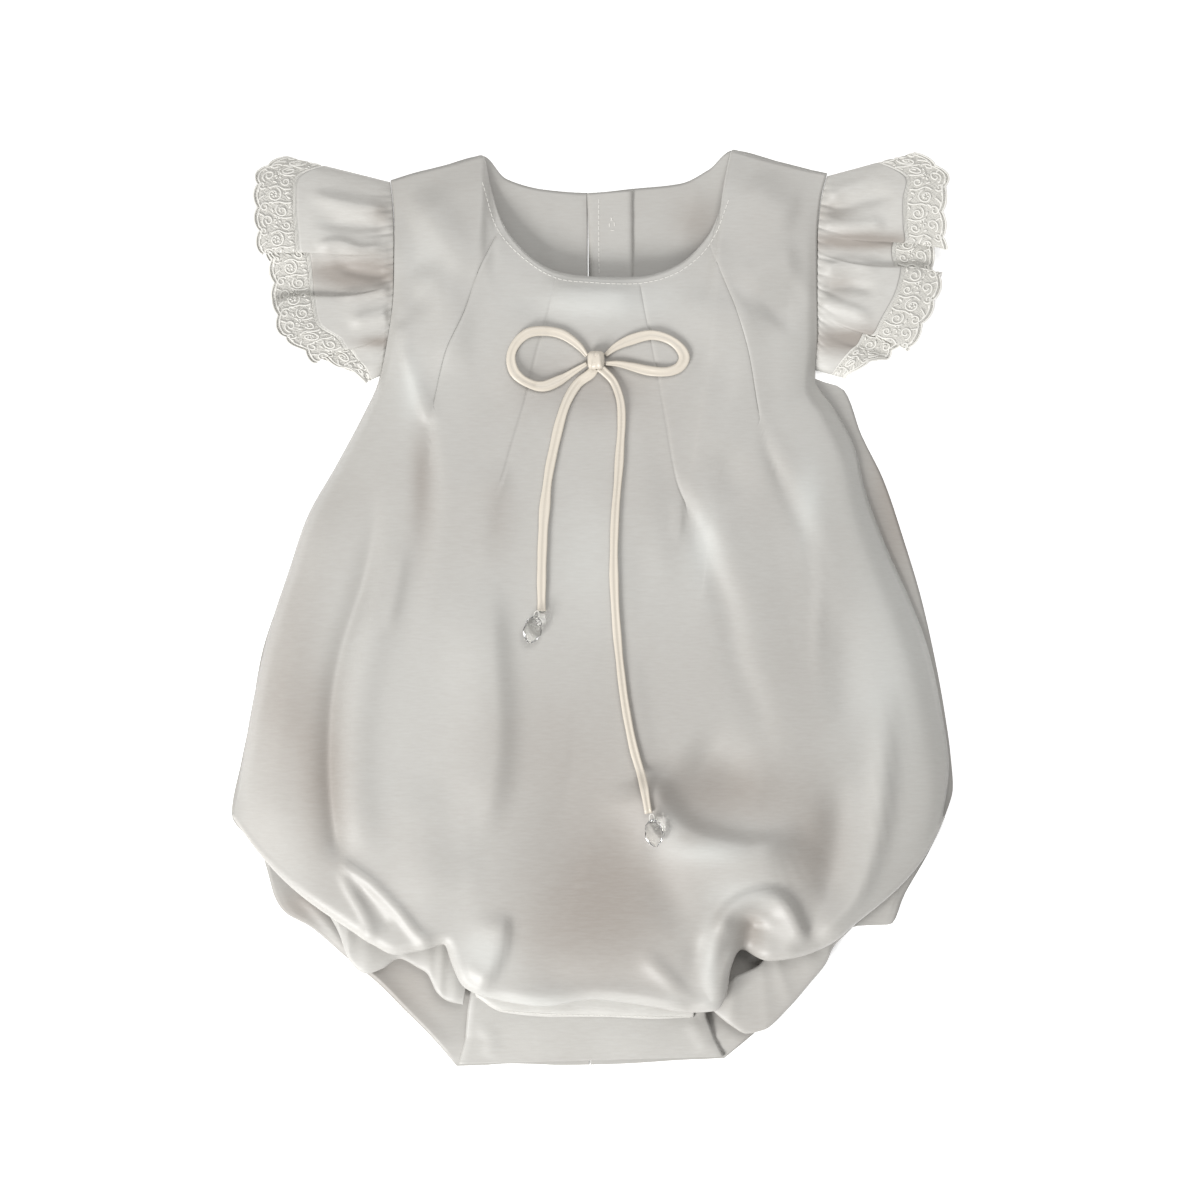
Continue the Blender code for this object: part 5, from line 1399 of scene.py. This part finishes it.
def motif_steps(threads):
    # Whole number of repeats along the lace, and the length of one
    count = max(4, round(threads.length / MOTIF_LENGTH))
    return count, threads.length / count


def scallop_depth(along, step):
    # How far the scalloped edge draws in at a distance along the lace
    return SCALLOP_RISE * (1 - abs(np.sin(pi * along / step * SCALLOPS_EACH)) ** 0.7)


def lace_motifs(threads, cord):
    # Scrolls, leaves, flowers and a scalloped edge, repeated along the strip
    count, step = motif_steps(threads)
    width = LACE_WIDTH
    for k in range(count):
        base = k * step
        for cs, ct, radius, inner, turns, start, hand in SCROLLS:
            s, t = spiral((cs * step, ct * width), radius, inner, turns, start * pi / 180, hand, 22)
            threads.thread(base + s, t / width, cord / 2, 4, lift=0.12, flat=0.7)
        for rows in STEMS:
            line = curve_through([(a * step, b * width) for a, b in rows], 12)
            threads.thread(base + line[:, 0], line[:, 1] / width, cord / 2, 4, lift=0.1, flat=0.7)
        for cs, ct, long, wide, turn in LEAVES:
            threads.petal(base + cs * step, ct, long, wide, turn * pi / 180, width)
        for cs, ct, petals, reach in FLOWERS:
            for p in range(petals):
                turn = 2 * pi * p / petals + 0.3
                along, across = base + cs * step + reach * cos(turn), ct + reach * sin(turn) / width
                threads.petal(along, across, *PETAL_SIZE, turn, width)
    along = np.linspace(0, threads.length, int(threads.length / 0.55), endpoint=False)
    deep = scallop_depth(along, step)
    threads.thread(along, 1 - deep / width, cord * 0.55, 4, closed=True, lift=0.1)
    threads.thread(along, 1 - (deep + 1.6) / width, cord * 0.42, 4, closed=True, lift=0.1)
    loops = int(threads.length / 1.5)
    for k in range(loops):
        middle = threads.length * k / loops
        turn = 2 * pi * np.arange(7) / 7
        across = 1 - (scallop_depth(middle, step) + 0.62) / width + 0.5 * np.sin(turn) / width
        threads.thread(middle + 0.55 * np.cos(turn), across, 0.13, 3, closed=True, lift=0.05)


def lace_net(threads, cell, thick):
    # Crossed fine threads of the net, from the tape to the scallops
    count = int(threads.length / cell)
    share = np.linspace(0.06, 0.955, 13)
    for hand in (-1.0, 1.0):
        for k in range(count):
            bend = 0.28 * cell * np.sin(share * LACE_WIDTH / cell * pi)
            s = k * threads.length / count + hand * (share * LACE_WIDTH * 0.62) + bend
            threads.thread(s, share, thick / 2, 3)


def lace_ground(name, threads, material):
    # Close fine ground of the lace with its scalloped edge, a little under the cords
    _, step = motif_steps(threads)
    along = np.linspace(0, threads.length, int(threads.length / 0.9), endpoint=False)
    deep = scallop_depth(along, step)
    reach = 1 - (deep + 0.3) / LACE_WIDTH
    rows = [threads.place(along, reach * k / 8, -0.12)[0] for k in range(9)]
    grid = np.stack(rows, axis=1)
    return shell(name, grid, grid_normals(grid, ring=True), 0.14, material, ring=True)


def lace_tape(threads):
    # Firm woven edge that is sewn to the satin
    along = np.linspace(0, threads.length, int(threads.length / 0.8), endpoint=False)
    for share, radius in ((0.012, 0.2), (0.04, 0.24), (0.068, 0.2)):
        threads.thread(along, np.full(len(along), share), radius, 4, closed=True, lift=0.1, flat=0.8)


def tube_faces(rings, sides, closed=False, start=0):
    # Wall between the rings of a tube, and its two ends where it doesn't close on itself
    faces = []
    for i in range(rings if closed else rings - 1):
        a, b = start + i * sides, start + (i + 1) % rings * sides
        faces += [(a + k, a + (k + 1) % sides, b + (k + 1) % sides, b + k) for k in range(sides)]
    if not closed:
        faces.append(tuple(start + k for k in reversed(range(sides))))
        faces.append(tuple(start + (rings - 1) * sides + k for k in range(sides)))
    return faces


def strap_points(rows, tree, count, radius=2.9):
    # Middle line of a strap laid on the front
    line = curve_through([row[:2] for row in rows], count)
    keys = np.linspace(0, len(rows) - 1, count)
    wide = np.interp(keys, range(len(rows)), [row[2] if len(row) > 2 else 1.0 for row in rows])
    lift = LAYER_GAP + STRAP_THICK / 2 + 0.15
    z = np.array([top_under(tree, x, y, radius) + lift for x, y in line])
    padded = np.concatenate([z[:1].repeat(2), z, z[-1:].repeat(2)])
    z = np.maximum(np.convolve(padded, [0.1, 0.2, 0.4, 0.2, 0.1], mode="valid"), z - 0.2)
    return np.column_stack([line, z]), wide


def strap(name, line, wide, material, slender=1.0, sides=24):
    # Flat folded tube with soft edges along a line
    ahead = np.gradient(line, axis=0)
    ahead[:, 2] = 0
    ahead /= np.linalg.norm(ahead, axis=1, keepdims=True)
    aside = np.column_stack([-ahead[:, 1], ahead[:, 0], np.zeros(len(line))])
    turn = 2 * pi * (np.arange(sides) + 0.5) / sides
    cx, sx = np.cos(turn), np.sin(turn)
    across = np.sign(cx) * abs(cx) ** 0.9 * STRAP_SHOWN / 2
    rise = np.sign(sx) * abs(sx) ** 0.8 * STRAP_THICK / 2
    rise = rise - STRAP_DIP * np.exp(-((across - STRAP_CREASE) / STRAP_CREASE_WIDTH) ** 2) * (sx > 0)
    uneven = slender * (1 + 0.09 * soft_noise(line[:, 0], line[:, 1], 3, 21.0))
    points = line[:, None, :] + aside[:, None, :] * (across[None, :] * (wide * uneven)[:, None])[..., None]
    points[..., 2] += rise[None, :]
    return mesh_piece(name, points.reshape(-1, 3), tube_faces(len(line), sides), material)


def turned_place(row, across, along):
    # Place beside and along a drop, seen from above, with the drop's own turn
    x0, y0, turn = row
    angle = turn * pi / 180
    return x0 + across * cos(angle) + along * sin(angle), y0 - across * sin(angle) + along * cos(angle)


def crystal(name, row, tree, material):
    # Long faceted drop: flat table, staggered facets and pointed ends
    low = above_front(tree, row[0], row[1], BEAD_WIDTH * 0.55)
    sides = 8
    points, faces = [], []
    for r, (along, share) in enumerate(CRYSTAL_RINGS):
        for k in range(sides):
            side = 2 * pi * (k + 0.5 * (r % 2)) / sides
            across = cos(side) * BEAD_WIDTH / 2 * share
            rise = sin(side) * BEAD_THICK / 2 * share
            x, y = turned_place(row, across, along * BEAD_LENGTH)
            points.append((x, y, low + BEAD_THICK / 2 + rise))
    for r in range(len(CRYSTAL_RINGS) - 1):
        for k in range(sides):
            n = (k + 1) % sides
            a, b, c, d = r * sides + k, r * sides + n, (r + 1) * sides + n, (r + 1) * sides + k
            if r % 2 == 0:
                faces += [(a, b, d), (b, c, d)]
            else:
                faces += [(a, b, c), (a, c, d)]
    faces.append(tuple(range(sides)))
    last = (len(CRYSTAL_RINGS) - 1) * sides
    faces.append(tuple(reversed(range(last, last + sides))))
    return mesh_piece(name, points, faces, material, smooth=False)


def hanger_loop(name, row, tree, material):
    # Fine thread through the top of the drop, up to the strap's end
    low = above_front(tree, row[0], row[1], BEAD_WIDTH * 0.55) + BEAD_THICK / 2
    angle = row[2] * pi / 180
    points = []
    count, sides = 20, 6
    for k in range(count):
        way = 2 * pi * k / count
        along, across = LOOP_MIDDLE + LOOP_REACH * cos(way), LOOP_WIDE * sin(way)
        centre = Vector((*turned_place(row, across, along), low + 0.6 * cos(way)))
        out = Vector((cos(angle) * sin(way) + sin(angle) * cos(way),
                      -sin(angle) * sin(way) + cos(angle) * cos(way), 0))
        for q in range(sides):
            side = 2 * pi * q / sides
            up = Vector((0, 0, LOOP_THICK * sin(side)))
            points.append(tuple(centre + out * (LOOP_THICK * cos(side)) + up))
    return mesh_piece(name, points, tube_faces(count, sides, closed=True), material)


def stitch_tree():
    # Evenly spaced short stitches along every curve that comes in
    tree = bpy.data.node_groups.new("Running stitches", "GeometryNodeTree")
    face = tree.interface
    face.new_socket("Geometry", in_out="INPUT", socket_type="NodeSocketGeometry")
    for name, value in STITCH_SIZES.items():
        socket = face.new_socket(name, in_out="INPUT", socket_type="NodeSocketFloat")
        socket.default_value = value
    face.new_socket("Material", in_out="INPUT", socket_type="NodeSocketMaterial")
    face.new_socket("Geometry", in_out="OUTPUT", socket_type="NodeSocketGeometry")
    given = add_node(tree, "NodeGroupInput").outputs
    lines = add_node(
        tree, "GeometryNodeResampleCurve", links={"Curve": given["Geometry"], "Length": given["Spacing"]},
        mode="LENGTH")
    thread = add_node(
        tree, "GeometryNodeMeshCylinder", {"Vertices": 6},
        {"Radius": given["Thread radius"], "Depth": given["Stitch length"]})
    way = add_node(tree, "GeometryNodeInputTangent").outputs["Tangent"]
    turned = add_node(tree, "FunctionNodeAlignRotationToVector", links={"Vector": way}, axis="Z")
    placed = add_node(tree, "GeometryNodeInstanceOnPoints", links={
        "Points": lines.outputs["Curve"], "Instance": thread.outputs["Mesh"],
        "Rotation": turned.outputs["Rotation"]})
    real = add_node(tree, "GeometryNodeRealizeInstances", links={"Geometry": placed.outputs["Instances"]})
    dressed = add_node(tree, "GeometryNodeSetMaterial", links={
        "Geometry": real.outputs["Geometry"], "Material": given["Material"]})
    add_node(tree, "NodeGroupOutput", links={"Geometry": dressed.outputs["Geometry"]})
    return tree


def sewn(name, lines, material):
    # Rows of stitches along lines given in millimetres, as one plain mesh
    curve = bpy.data.curves.new(name + " line", "CURVE")
    curve.dimensions = "3D"
    for line in lines:
        spline = curve.splines.new("POLY")
        spline.points.add(len(line) - 1)
        for point, place in zip(spline.points, line):
            point.co = (*[c * MM for c in place], 1.0)
    holder = bpy.data.objects.new(name + " line", curve)
    bpy.context.scene.collection.objects.link(holder)
    tree = bpy.data.node_groups.get("Running stitches") or stitch_tree()
    modifier = holder.modifiers.new("stitches", "NODES")
    modifier.node_group = tree
    ids = {item.name: item.identifier for item in tree.interface.items_tree if item.in_out == "INPUT"}
    for key, value in (*STITCH_SIZES.items(), ("Material", material)):
        modifier[ids[key]] = value
    bpy.context.view_layer.update()
    seen = holder.evaluated_get(bpy.context.evaluated_depsgraph_get())
    mesh = bpy.data.meshes.new_from_object(seen)
    mesh.name = name
    bpy.data.objects.remove(holder, do_unlink=True)
    if not mesh.materials:
        mesh.materials.append(material)
    piece = bpy.data.objects.new(name, mesh)
    bpy.context.scene.collection.objects.link(piece)
    return piece


def on_surface(tree, line, lift):
    # A line seen from above, dropped on a surface and raised a little, in millimetres
    found = []
    for x, y in line:
        hit = tree.ray_cast(Vector((x * MM, y * MM, 1.0)), Vector((0.0, 0.0, -1.0)))
        if hit[0] is not None:
            found.append((x, y, hit[0].z / MM + lift))
    return found


class ROMPER_OT_stage(bpy.types.Operator):
    """Sets the camera straight above the romper, the pale floor and the soft light"""

    bl_idname = "romper.stage"
    bl_label = "Camera, floor and light"

    def execute(self, context):
        scene = context.scene
        camera = bpy.data.cameras.new("camera")
        camera.sensor_width = SENSOR
        camera.lens = SENSOR * (CAMERA_HEIGHT - 0.008) / (PHOTO_SIDE * MM_PER_PIXEL * MM)
        seen = bpy.data.objects.new("camera", camera)
        seen.location = (PHOTO_CENTRE[0] * MM, PHOTO_CENTRE[1] * MM, CAMERA_HEIGHT)
        scene.collection.objects.link(seen)
        scene.camera = seen
        scene.view_settings.view_transform = "Standard"
        floor, _, shader = new_material("white paper floor")
        shader.inputs["Base Color"].default_value = (*colour_of("FAFAFA"), 1.0)
        shader.inputs["Roughness"].default_value = 0.9
        shader.inputs["Emission Color"].default_value = (1.0, 1.0, 1.0, 1.0)
        shader.inputs["Emission Strength"].default_value = FLOOR_GLOW
        ground = mesh_floor(floor)
        # One broad window low at the left and towards the hem, and an even pale room
        for name, spot, size, power in LIGHTS:
            lamp = bpy.data.lights.new(name, "AREA")
            lamp.size = size
            lamp.energy = power
            placed = bpy.data.objects.new(name, lamp)
            placed.location = spot
            placed.rotation_euler = (-Vector(spot)).to_track_quat("-Z", "Y").to_euler()
            scene.collection.objects.link(placed)
        world = bpy.data.worlds.new("pale room")
        world.use_nodes = True
        world.node_tree.nodes["Background"].inputs["Color"].default_value = (1.0, 1.0, 1.0, 1.0)
        world.node_tree.nodes["Background"].inputs["Strength"].default_value = ROOM_LIGHT
        scene.world = world
        return {"FINISHED"}


def mesh_floor(material):
    # Square floor under the romper
    mesh = bpy.data.meshes.new("floor")
    corners = [(-FLOOR_HALF, -FLOOR_HALF, 0), (FLOOR_HALF, -FLOOR_HALF, 0), (FLOOR_HALF, FLOOR_HALF, 0),
               (-FLOOR_HALF, FLOOR_HALF, 0)]
    mesh.from_pydata(corners, [], [(0, 1, 2, 3)])
    mesh.materials.append(material)
    ground = bpy.data.objects.new("floor", mesh)
    bpy.context.scene.collection.objects.link(ground)
    return ground


class ROMPER_OT_front(bpy.types.Operator):
    """Front panel as a thin satin shell with its tucks, folds and puffed lower edge"""

    bl_idname = "romper.front"
    bl_label = "Front panel"

    def execute(self, context):
        grid = front_points()
        normals = grid_normals(grid)
        if normals[len(grid) // 2, CHECKED_ROW, 2] < 0:
            normals = -normals
        thickness = settings().shell / MM
        grid = grid + normals * (BODY_CLOTH - thickness) / 2
        piece = shell("front_satin", grid, normals, thickness, satin_material("front satin woven", "front"))
        paint_shade_and_light(piece, PAINTED_SHADE_AND_LIGHT_SPOTS)
        settle(piece, "front_panel")
        return {"FINISHED"}


class ROMPER_OT_back(bpy.types.Operator):
    """Two back halves laid flat, their neck edge and legs showing past the front, with the placket strip"""

    bl_idname = "romper.back"
    bl_label = "Back halves and placket"

    def execute(self, context):
        for side, first, last in (("left", 0.0, BACK_SPLIT), ("right", BACK_SPLIT, 1.0)):
            plan = back_points(first, last)
            x, y = plan[..., 0], plan[..., 1]
            nu, nv = x.shape
            inset = np.minimum(np.minimum(np.arange(nu), np.arange(nu)[::-1])[:, None] / 2.0,
                               np.minimum(np.arange(nv), np.arange(nv)[::-1])[None, :] / 2.0)
            soft = np.clip(inset, 0, 1)
            leg = np.clip((LEG_WRINKLES_TOP - y) / 40.0, 0, 1)
            high = 1.0 + 0.12 * soft_noise(x, y, 21, 34.0)
            high += fold_sum(BACK_FOLDS, x, y) * soft
            high += 0.35 * leg * (soft_noise(x, y, 33, 22.0) + 1.0) * soft
            high = np.where(soft > 0.9, high, 0.85)
            low = np.full(x.shape, 0.08)
            satin = satin_material(f"back {side} satin woven", "back")
            piece = two_skin(f"back_{side}_satin", plan, low, high, satin)
            paint_shade_and_light(piece, BACK_SHADE_SPOTS)
            settle(piece, f"back_{side}_panel")
        share = np.linspace(0, 1, 16)
        plan = strip_plan(ruled(PLACKET, 60, smooth=False), share).transpose(1, 0, 2)
        round_off = 1 - np.clip(1 - np.minimum(share, 1 - share) / 0.12, 0, 1) ** 2
        high = FRONT_EDGE_MID - 0.35 + 0.95 * round_off[:, None]
        high = high + 0.08 * soft_noise(plan[..., 0], plan[..., 1], 8, 12.0)
        low = np.full(high.shape, FRONT_EDGE_MID - 0.5)
        strip = two_skin("placket_satin", plan, low, high, satin_material("placket satin woven", "placket"))
        paint_shade_and_light(strip, [])
        settle(strip, "back_placket")
        return {"FINISHED"}


class ROMPER_OT_legs(bpy.types.Operator):
    """Crotch band with its binding, and the gathered casings of both leg openings"""

    bl_idname = "romper.legs"
    bl_label = "Crotch band and leg casings"

    def execute(self, context):
        rows = ruled(CROTCH_BAND, 70, smooth=False)
        share = np.linspace(0, 1, 90)
        plan = strip_plan(rows, share).transpose(1, 0, 2)
        middle = rows[:, 1] * 0.5 + rows[:, 3] * 0.5
        order = np.argsort(middle)
        band_places, band_heights = middle[order], rows[order, 4]
        height = np.interp(plan[..., 1], band_places, band_heights)
        x, y = plan[..., 0], plan[..., 1]
        inset = np.clip(np.minimum(share, 1 - share) / 0.02, 0, 1)[:, None]
        relief = 0.3 * soft_noise(x * 0.6, y, 14, 26.0) + fold_sum(BAND_FOLDS, x, y)
        grid = np.dstack([plan, height + (relief - 0.5 * (1 - inset))])
        normals = grid_normals(grid)
        normals *= np.sign(normals[..., 2:3])
        satin = satin_material("crotch band satin woven", "crotch band")
        band = shell("crotch_band_satin", grid, normals, 0.9, satin)
        paint_shade_and_light(band, [])
        settle(band, "crotch_band")
        share = np.linspace(0, 1, 14)
        plan = strip_plan(ruled(BINDING, 110), share)
        puff = (1 - (2 * share - 1) ** 4)[None, :]
        high = np.interp(plan[..., 1], band_places, band_heights) + 0.9 + BINDING_PUFF * puff
        high += 0.1 * soft_noise(plan[..., 0], plan[..., 1], 17, 24.0) * puff
        low = high - 0.2 - BINDING_PUFF * puff
        satin = satin_material("binding satin folded", "binding")
        edge = two_skin("crotch_binding_satin", plan, low, high, satin)
        paint_shade_and_light(edge, [])
        settle(edge, "crotch_binding")
        for side, table, seed in (("left", LEFT_CASING, 41), ("right", RIGHT_CASING, 43)):
            rows = ruled(table, 190, keyed=False)
            share = np.linspace(0, 1, 26)
            plan = strip_plan(rows, share)
            along = lengths_along(plan[:, 13])
            draw = np.random.default_rng(seed)
            place = 2.0
            wave = np.zeros(len(along))
            while place < along[-1]:
                wave += draw.uniform(0.5, 1.2) * np.exp(-((along - place) / draw.uniform(2.6, 4.8)) ** 2)
                place += draw.uniform(8.0, 16.0)
            crown = np.sqrt(np.clip(1 - (2 * share - 1) ** 2, 0, 1))[None, :]
            high = rows[:, 4:5] - 0.5 + 1.5 * crown + CASING_RIPPLE * wave[:, None] * (0.25 + 0.75 * crown)
            low = np.minimum(rows[:, 4:5] - 0.65, high - 0.25)
            satin = satin_material(f"{side} casing satin woven", "casing")
            piece = two_skin(f"leg_casing_{side}_satin", plan, low, high, satin)
            paint_shade_and_light(piece, [])
            settle(piece, f"leg_casing_{side}")
        return {"FINISHED"}


class ROMPER_OT_sleeves(bpy.types.Operator):
    """Gathered flutter sleeves with corded lace along their edge"""

    bl_idname = "romper.sleeves"
    bl_label = "Sleeves and lace"

    def execute(self, context):
        own = settings()
        for side, rows, outward in (("left", LEFT_SLEEVE, -1.0), ("right", RIGHT_SLEEVE, 1.0)):
            satin, strip = sleeve_grid(side, rows, outward)
            normals = grid_normals(satin, ring=True)
            low = satin[:, :, 2] < UNDERSIDE + 0.06
            normals[low] = np.where(normals[low][:, 2:3] > 0, 1.0, -1.0) * np.array((0.0, 0.0, 1.0))
            woven = satin_material(f"{side} sleeve satin woven", "sleeve")
            piece = shell(f"sleeve_{side}_satin", satin, normals, SLEEVE_SHELL, woven, ring=True)
            paint_shade_and_light(piece, SLEEVE_SHADE_SPOTS[side])
            settle(piece, f"sleeve_{side}")
            threads = Threads(strip)
            lace_motifs(threads, own.cord / MM)
            lace_tape(threads)
            corded = threads.make(f"lace_{side}_cords", lace_material(f"{side} lace cord cotton", own.lace))
            close = lace_material(f"{side} lace ground cotton", own.lace_ground)
            ground = lace_ground(f"lace_{side}_ground", threads, close)
            net = Threads(strip)
            lace_net(net, own.net_cell / MM, own.net / MM)
            meshed = net.make(f"lace_{side}_net", lace_material(f"{side} lace net cotton", own.lace))
            for part in (corded, meshed, ground):
                settle(part, f"lace_{side}")
        return {"FINISHED"}


class ROMPER_OT_bow(bpy.types.Operator):
    """Strap bow on the chest with two free tails that end in crystal drops"""

    bl_idname = "romper.bow"
    bl_label = "Bow, tails and crystals"

    def execute(self, context):
        tree = surface_tree(bpy.data.objects["front_satin"])
        cream = strap_material()
        for side, rows in (("left", LEFT_LOOP), ("right", RIGHT_LOOP)):
            line, wide = strap_points(rows, tree, 120)
            loop = strap(f"bow_loop_{side}_strap", line, wide, cream)
            settle(loop, f"bow_loop_{side}")
        knot = self.knot(tree, cream)
        settle(knot, "bow_knot")
        glass = crystal_material()
        thread = lace_material("hanging thread clear", colour_of("D8D6D0"))
        for side, rows, bead, start, slender in (
                ("left", LEFT_TAIL, LEFT_BEAD, TAIL_STARTS[0], 1.0),
                ("right", RIGHT_TAIL, RIGHT_BEAD, TAIL_STARTS[1], 0.86)):
            line, wide = strap_points([start, *rows], tree, 130)
            tail = strap(f"tail_{side}_strap", line, wide, cream, slender)
            drop = crystal(f"crystal_{side}", bead, tree, glass)
            hook = hanger_loop(f"crystal_thread_{side}", bead, tree, thread)
            settle(tail, f"tail_{side}")
            settle(drop, f"bead_{side}")
            settle(hook, f"bead_{side}")
        return {"FINISHED"}

    def knot(self, tree, material):
        # Strap wound once round the middle: a soft square with two creases
        x0, y0 = BOW_CENTRE
        low = above_front(tree, x0, y0, 5.0)
        rings, sides = 20, 40
        points = []
        for r in range(1, rings):
            tilt = pi * r / rings
            for k in range(sides):
                turn = 2 * pi * k / sides
                cx, cy = cos(turn), sin(turn)
                square = (abs(cx) ** 4 + abs(cy) ** 4) ** 0.25
                wide = sin(tilt) ** 0.6
                x, y = KNOT_SIZE[0] / 2 * wide * cx / square, KNOT_SIZE[1] / 2 * wide * cy / square
                z = KNOT_SIZE[2] / 2 * (1 - cos(tilt))
                if tilt > pi / 2:
                    z += (0.5 * np.exp(-((x - 1.5 + 0.2 * y) / 0.9) ** 2)
                          - 0.55 * np.exp(-((x + 0.9 - 0.25 * y) / 0.55) ** 2))
                points.append((x0 + x, y0 + y, low + z))
        faces = []
        for r in range(rings - 2):
            for k in range(sides):
                n = (k + 1) % sides
                faces.append((r * sides + k, r * sides + n, (r + 1) * sides + n, (r + 1) * sides + k))
        faces.append(tuple(range(sides)))
        faces.append(tuple(reversed(range((rings - 2) * sides, (rings - 1) * sides))))
        return mesh_piece("bow_knot_strap", points, faces, material)


class ROMPER_OT_stitching(bpy.types.Operator):
    """Rows of stitches at the neck edge, the button stand, its buttonhole and the crotch binding"""

    bl_idname = "romper.stitching"
    bl_label = "Stitching"

    def execute(self, context):
        thread = lace_material("sewing thread ivory", colour_of("DDDBD5"))
        for name, node, source, lines in STITCHED:
            tree = surface_tree(bpy.data.objects[source])
            fine = [curve_through(line, max(12, 9 * len(line))) for line in lines]
            rows = [on_surface(tree, line, STITCH_LIFT) for line in fine]
            rows = [row for row in rows if len(row) > 2]
            if not rows:
                raise RuntimeError(f"no stitches land on {source}")
            piece = sewn(name, rows, thread)
            settle(piece, node)
        return {"FINISHED"}


class ROMPER_PT_panel(bpy.types.Panel):
    """Buttons that build the romper piece by piece"""

    bl_idname = "ROMPER_PT_panel"
    bl_label = "Satin baby romper"
    bl_space_type = "VIEW_3D"
    bl_region_type = "UI"
    bl_category = "Romper"

    def draw(self, context):
        for made in PIECES:
            self.layout.operator(made.bl_idname)
        for name in RomperSettings.__annotations__:
            self.layout.prop(context.scene.romper, name)


PIECES = (ROMPER_OT_stage, ROMPER_OT_front, ROMPER_OT_back, ROMPER_OT_legs, ROMPER_OT_sleeves, ROMPER_OT_bow,
          ROMPER_OT_stitching)
CLASSES = (RomperSettings, *PIECES, ROMPER_PT_panel)


def register():
    for made in CLASSES:
        bpy.utils.register_class(made)
    bpy.types.Scene.romper = bpy.props.PointerProperty(type=RomperSettings)


def unregister():
    del bpy.types.Scene.romper
    for made in reversed(CLASSES):
        bpy.utils.unregister_class(made)


def main():
    register()
    bpy.ops.romper.stage()
    bpy.ops.romper.front()
    bpy.ops.romper.back()
    bpy.ops.romper.legs()
    bpy.ops.romper.sleeves()
    bpy.ops.romper.bow()
    bpy.ops.romper.stitching()


if __name__ == "__main__":
    main()
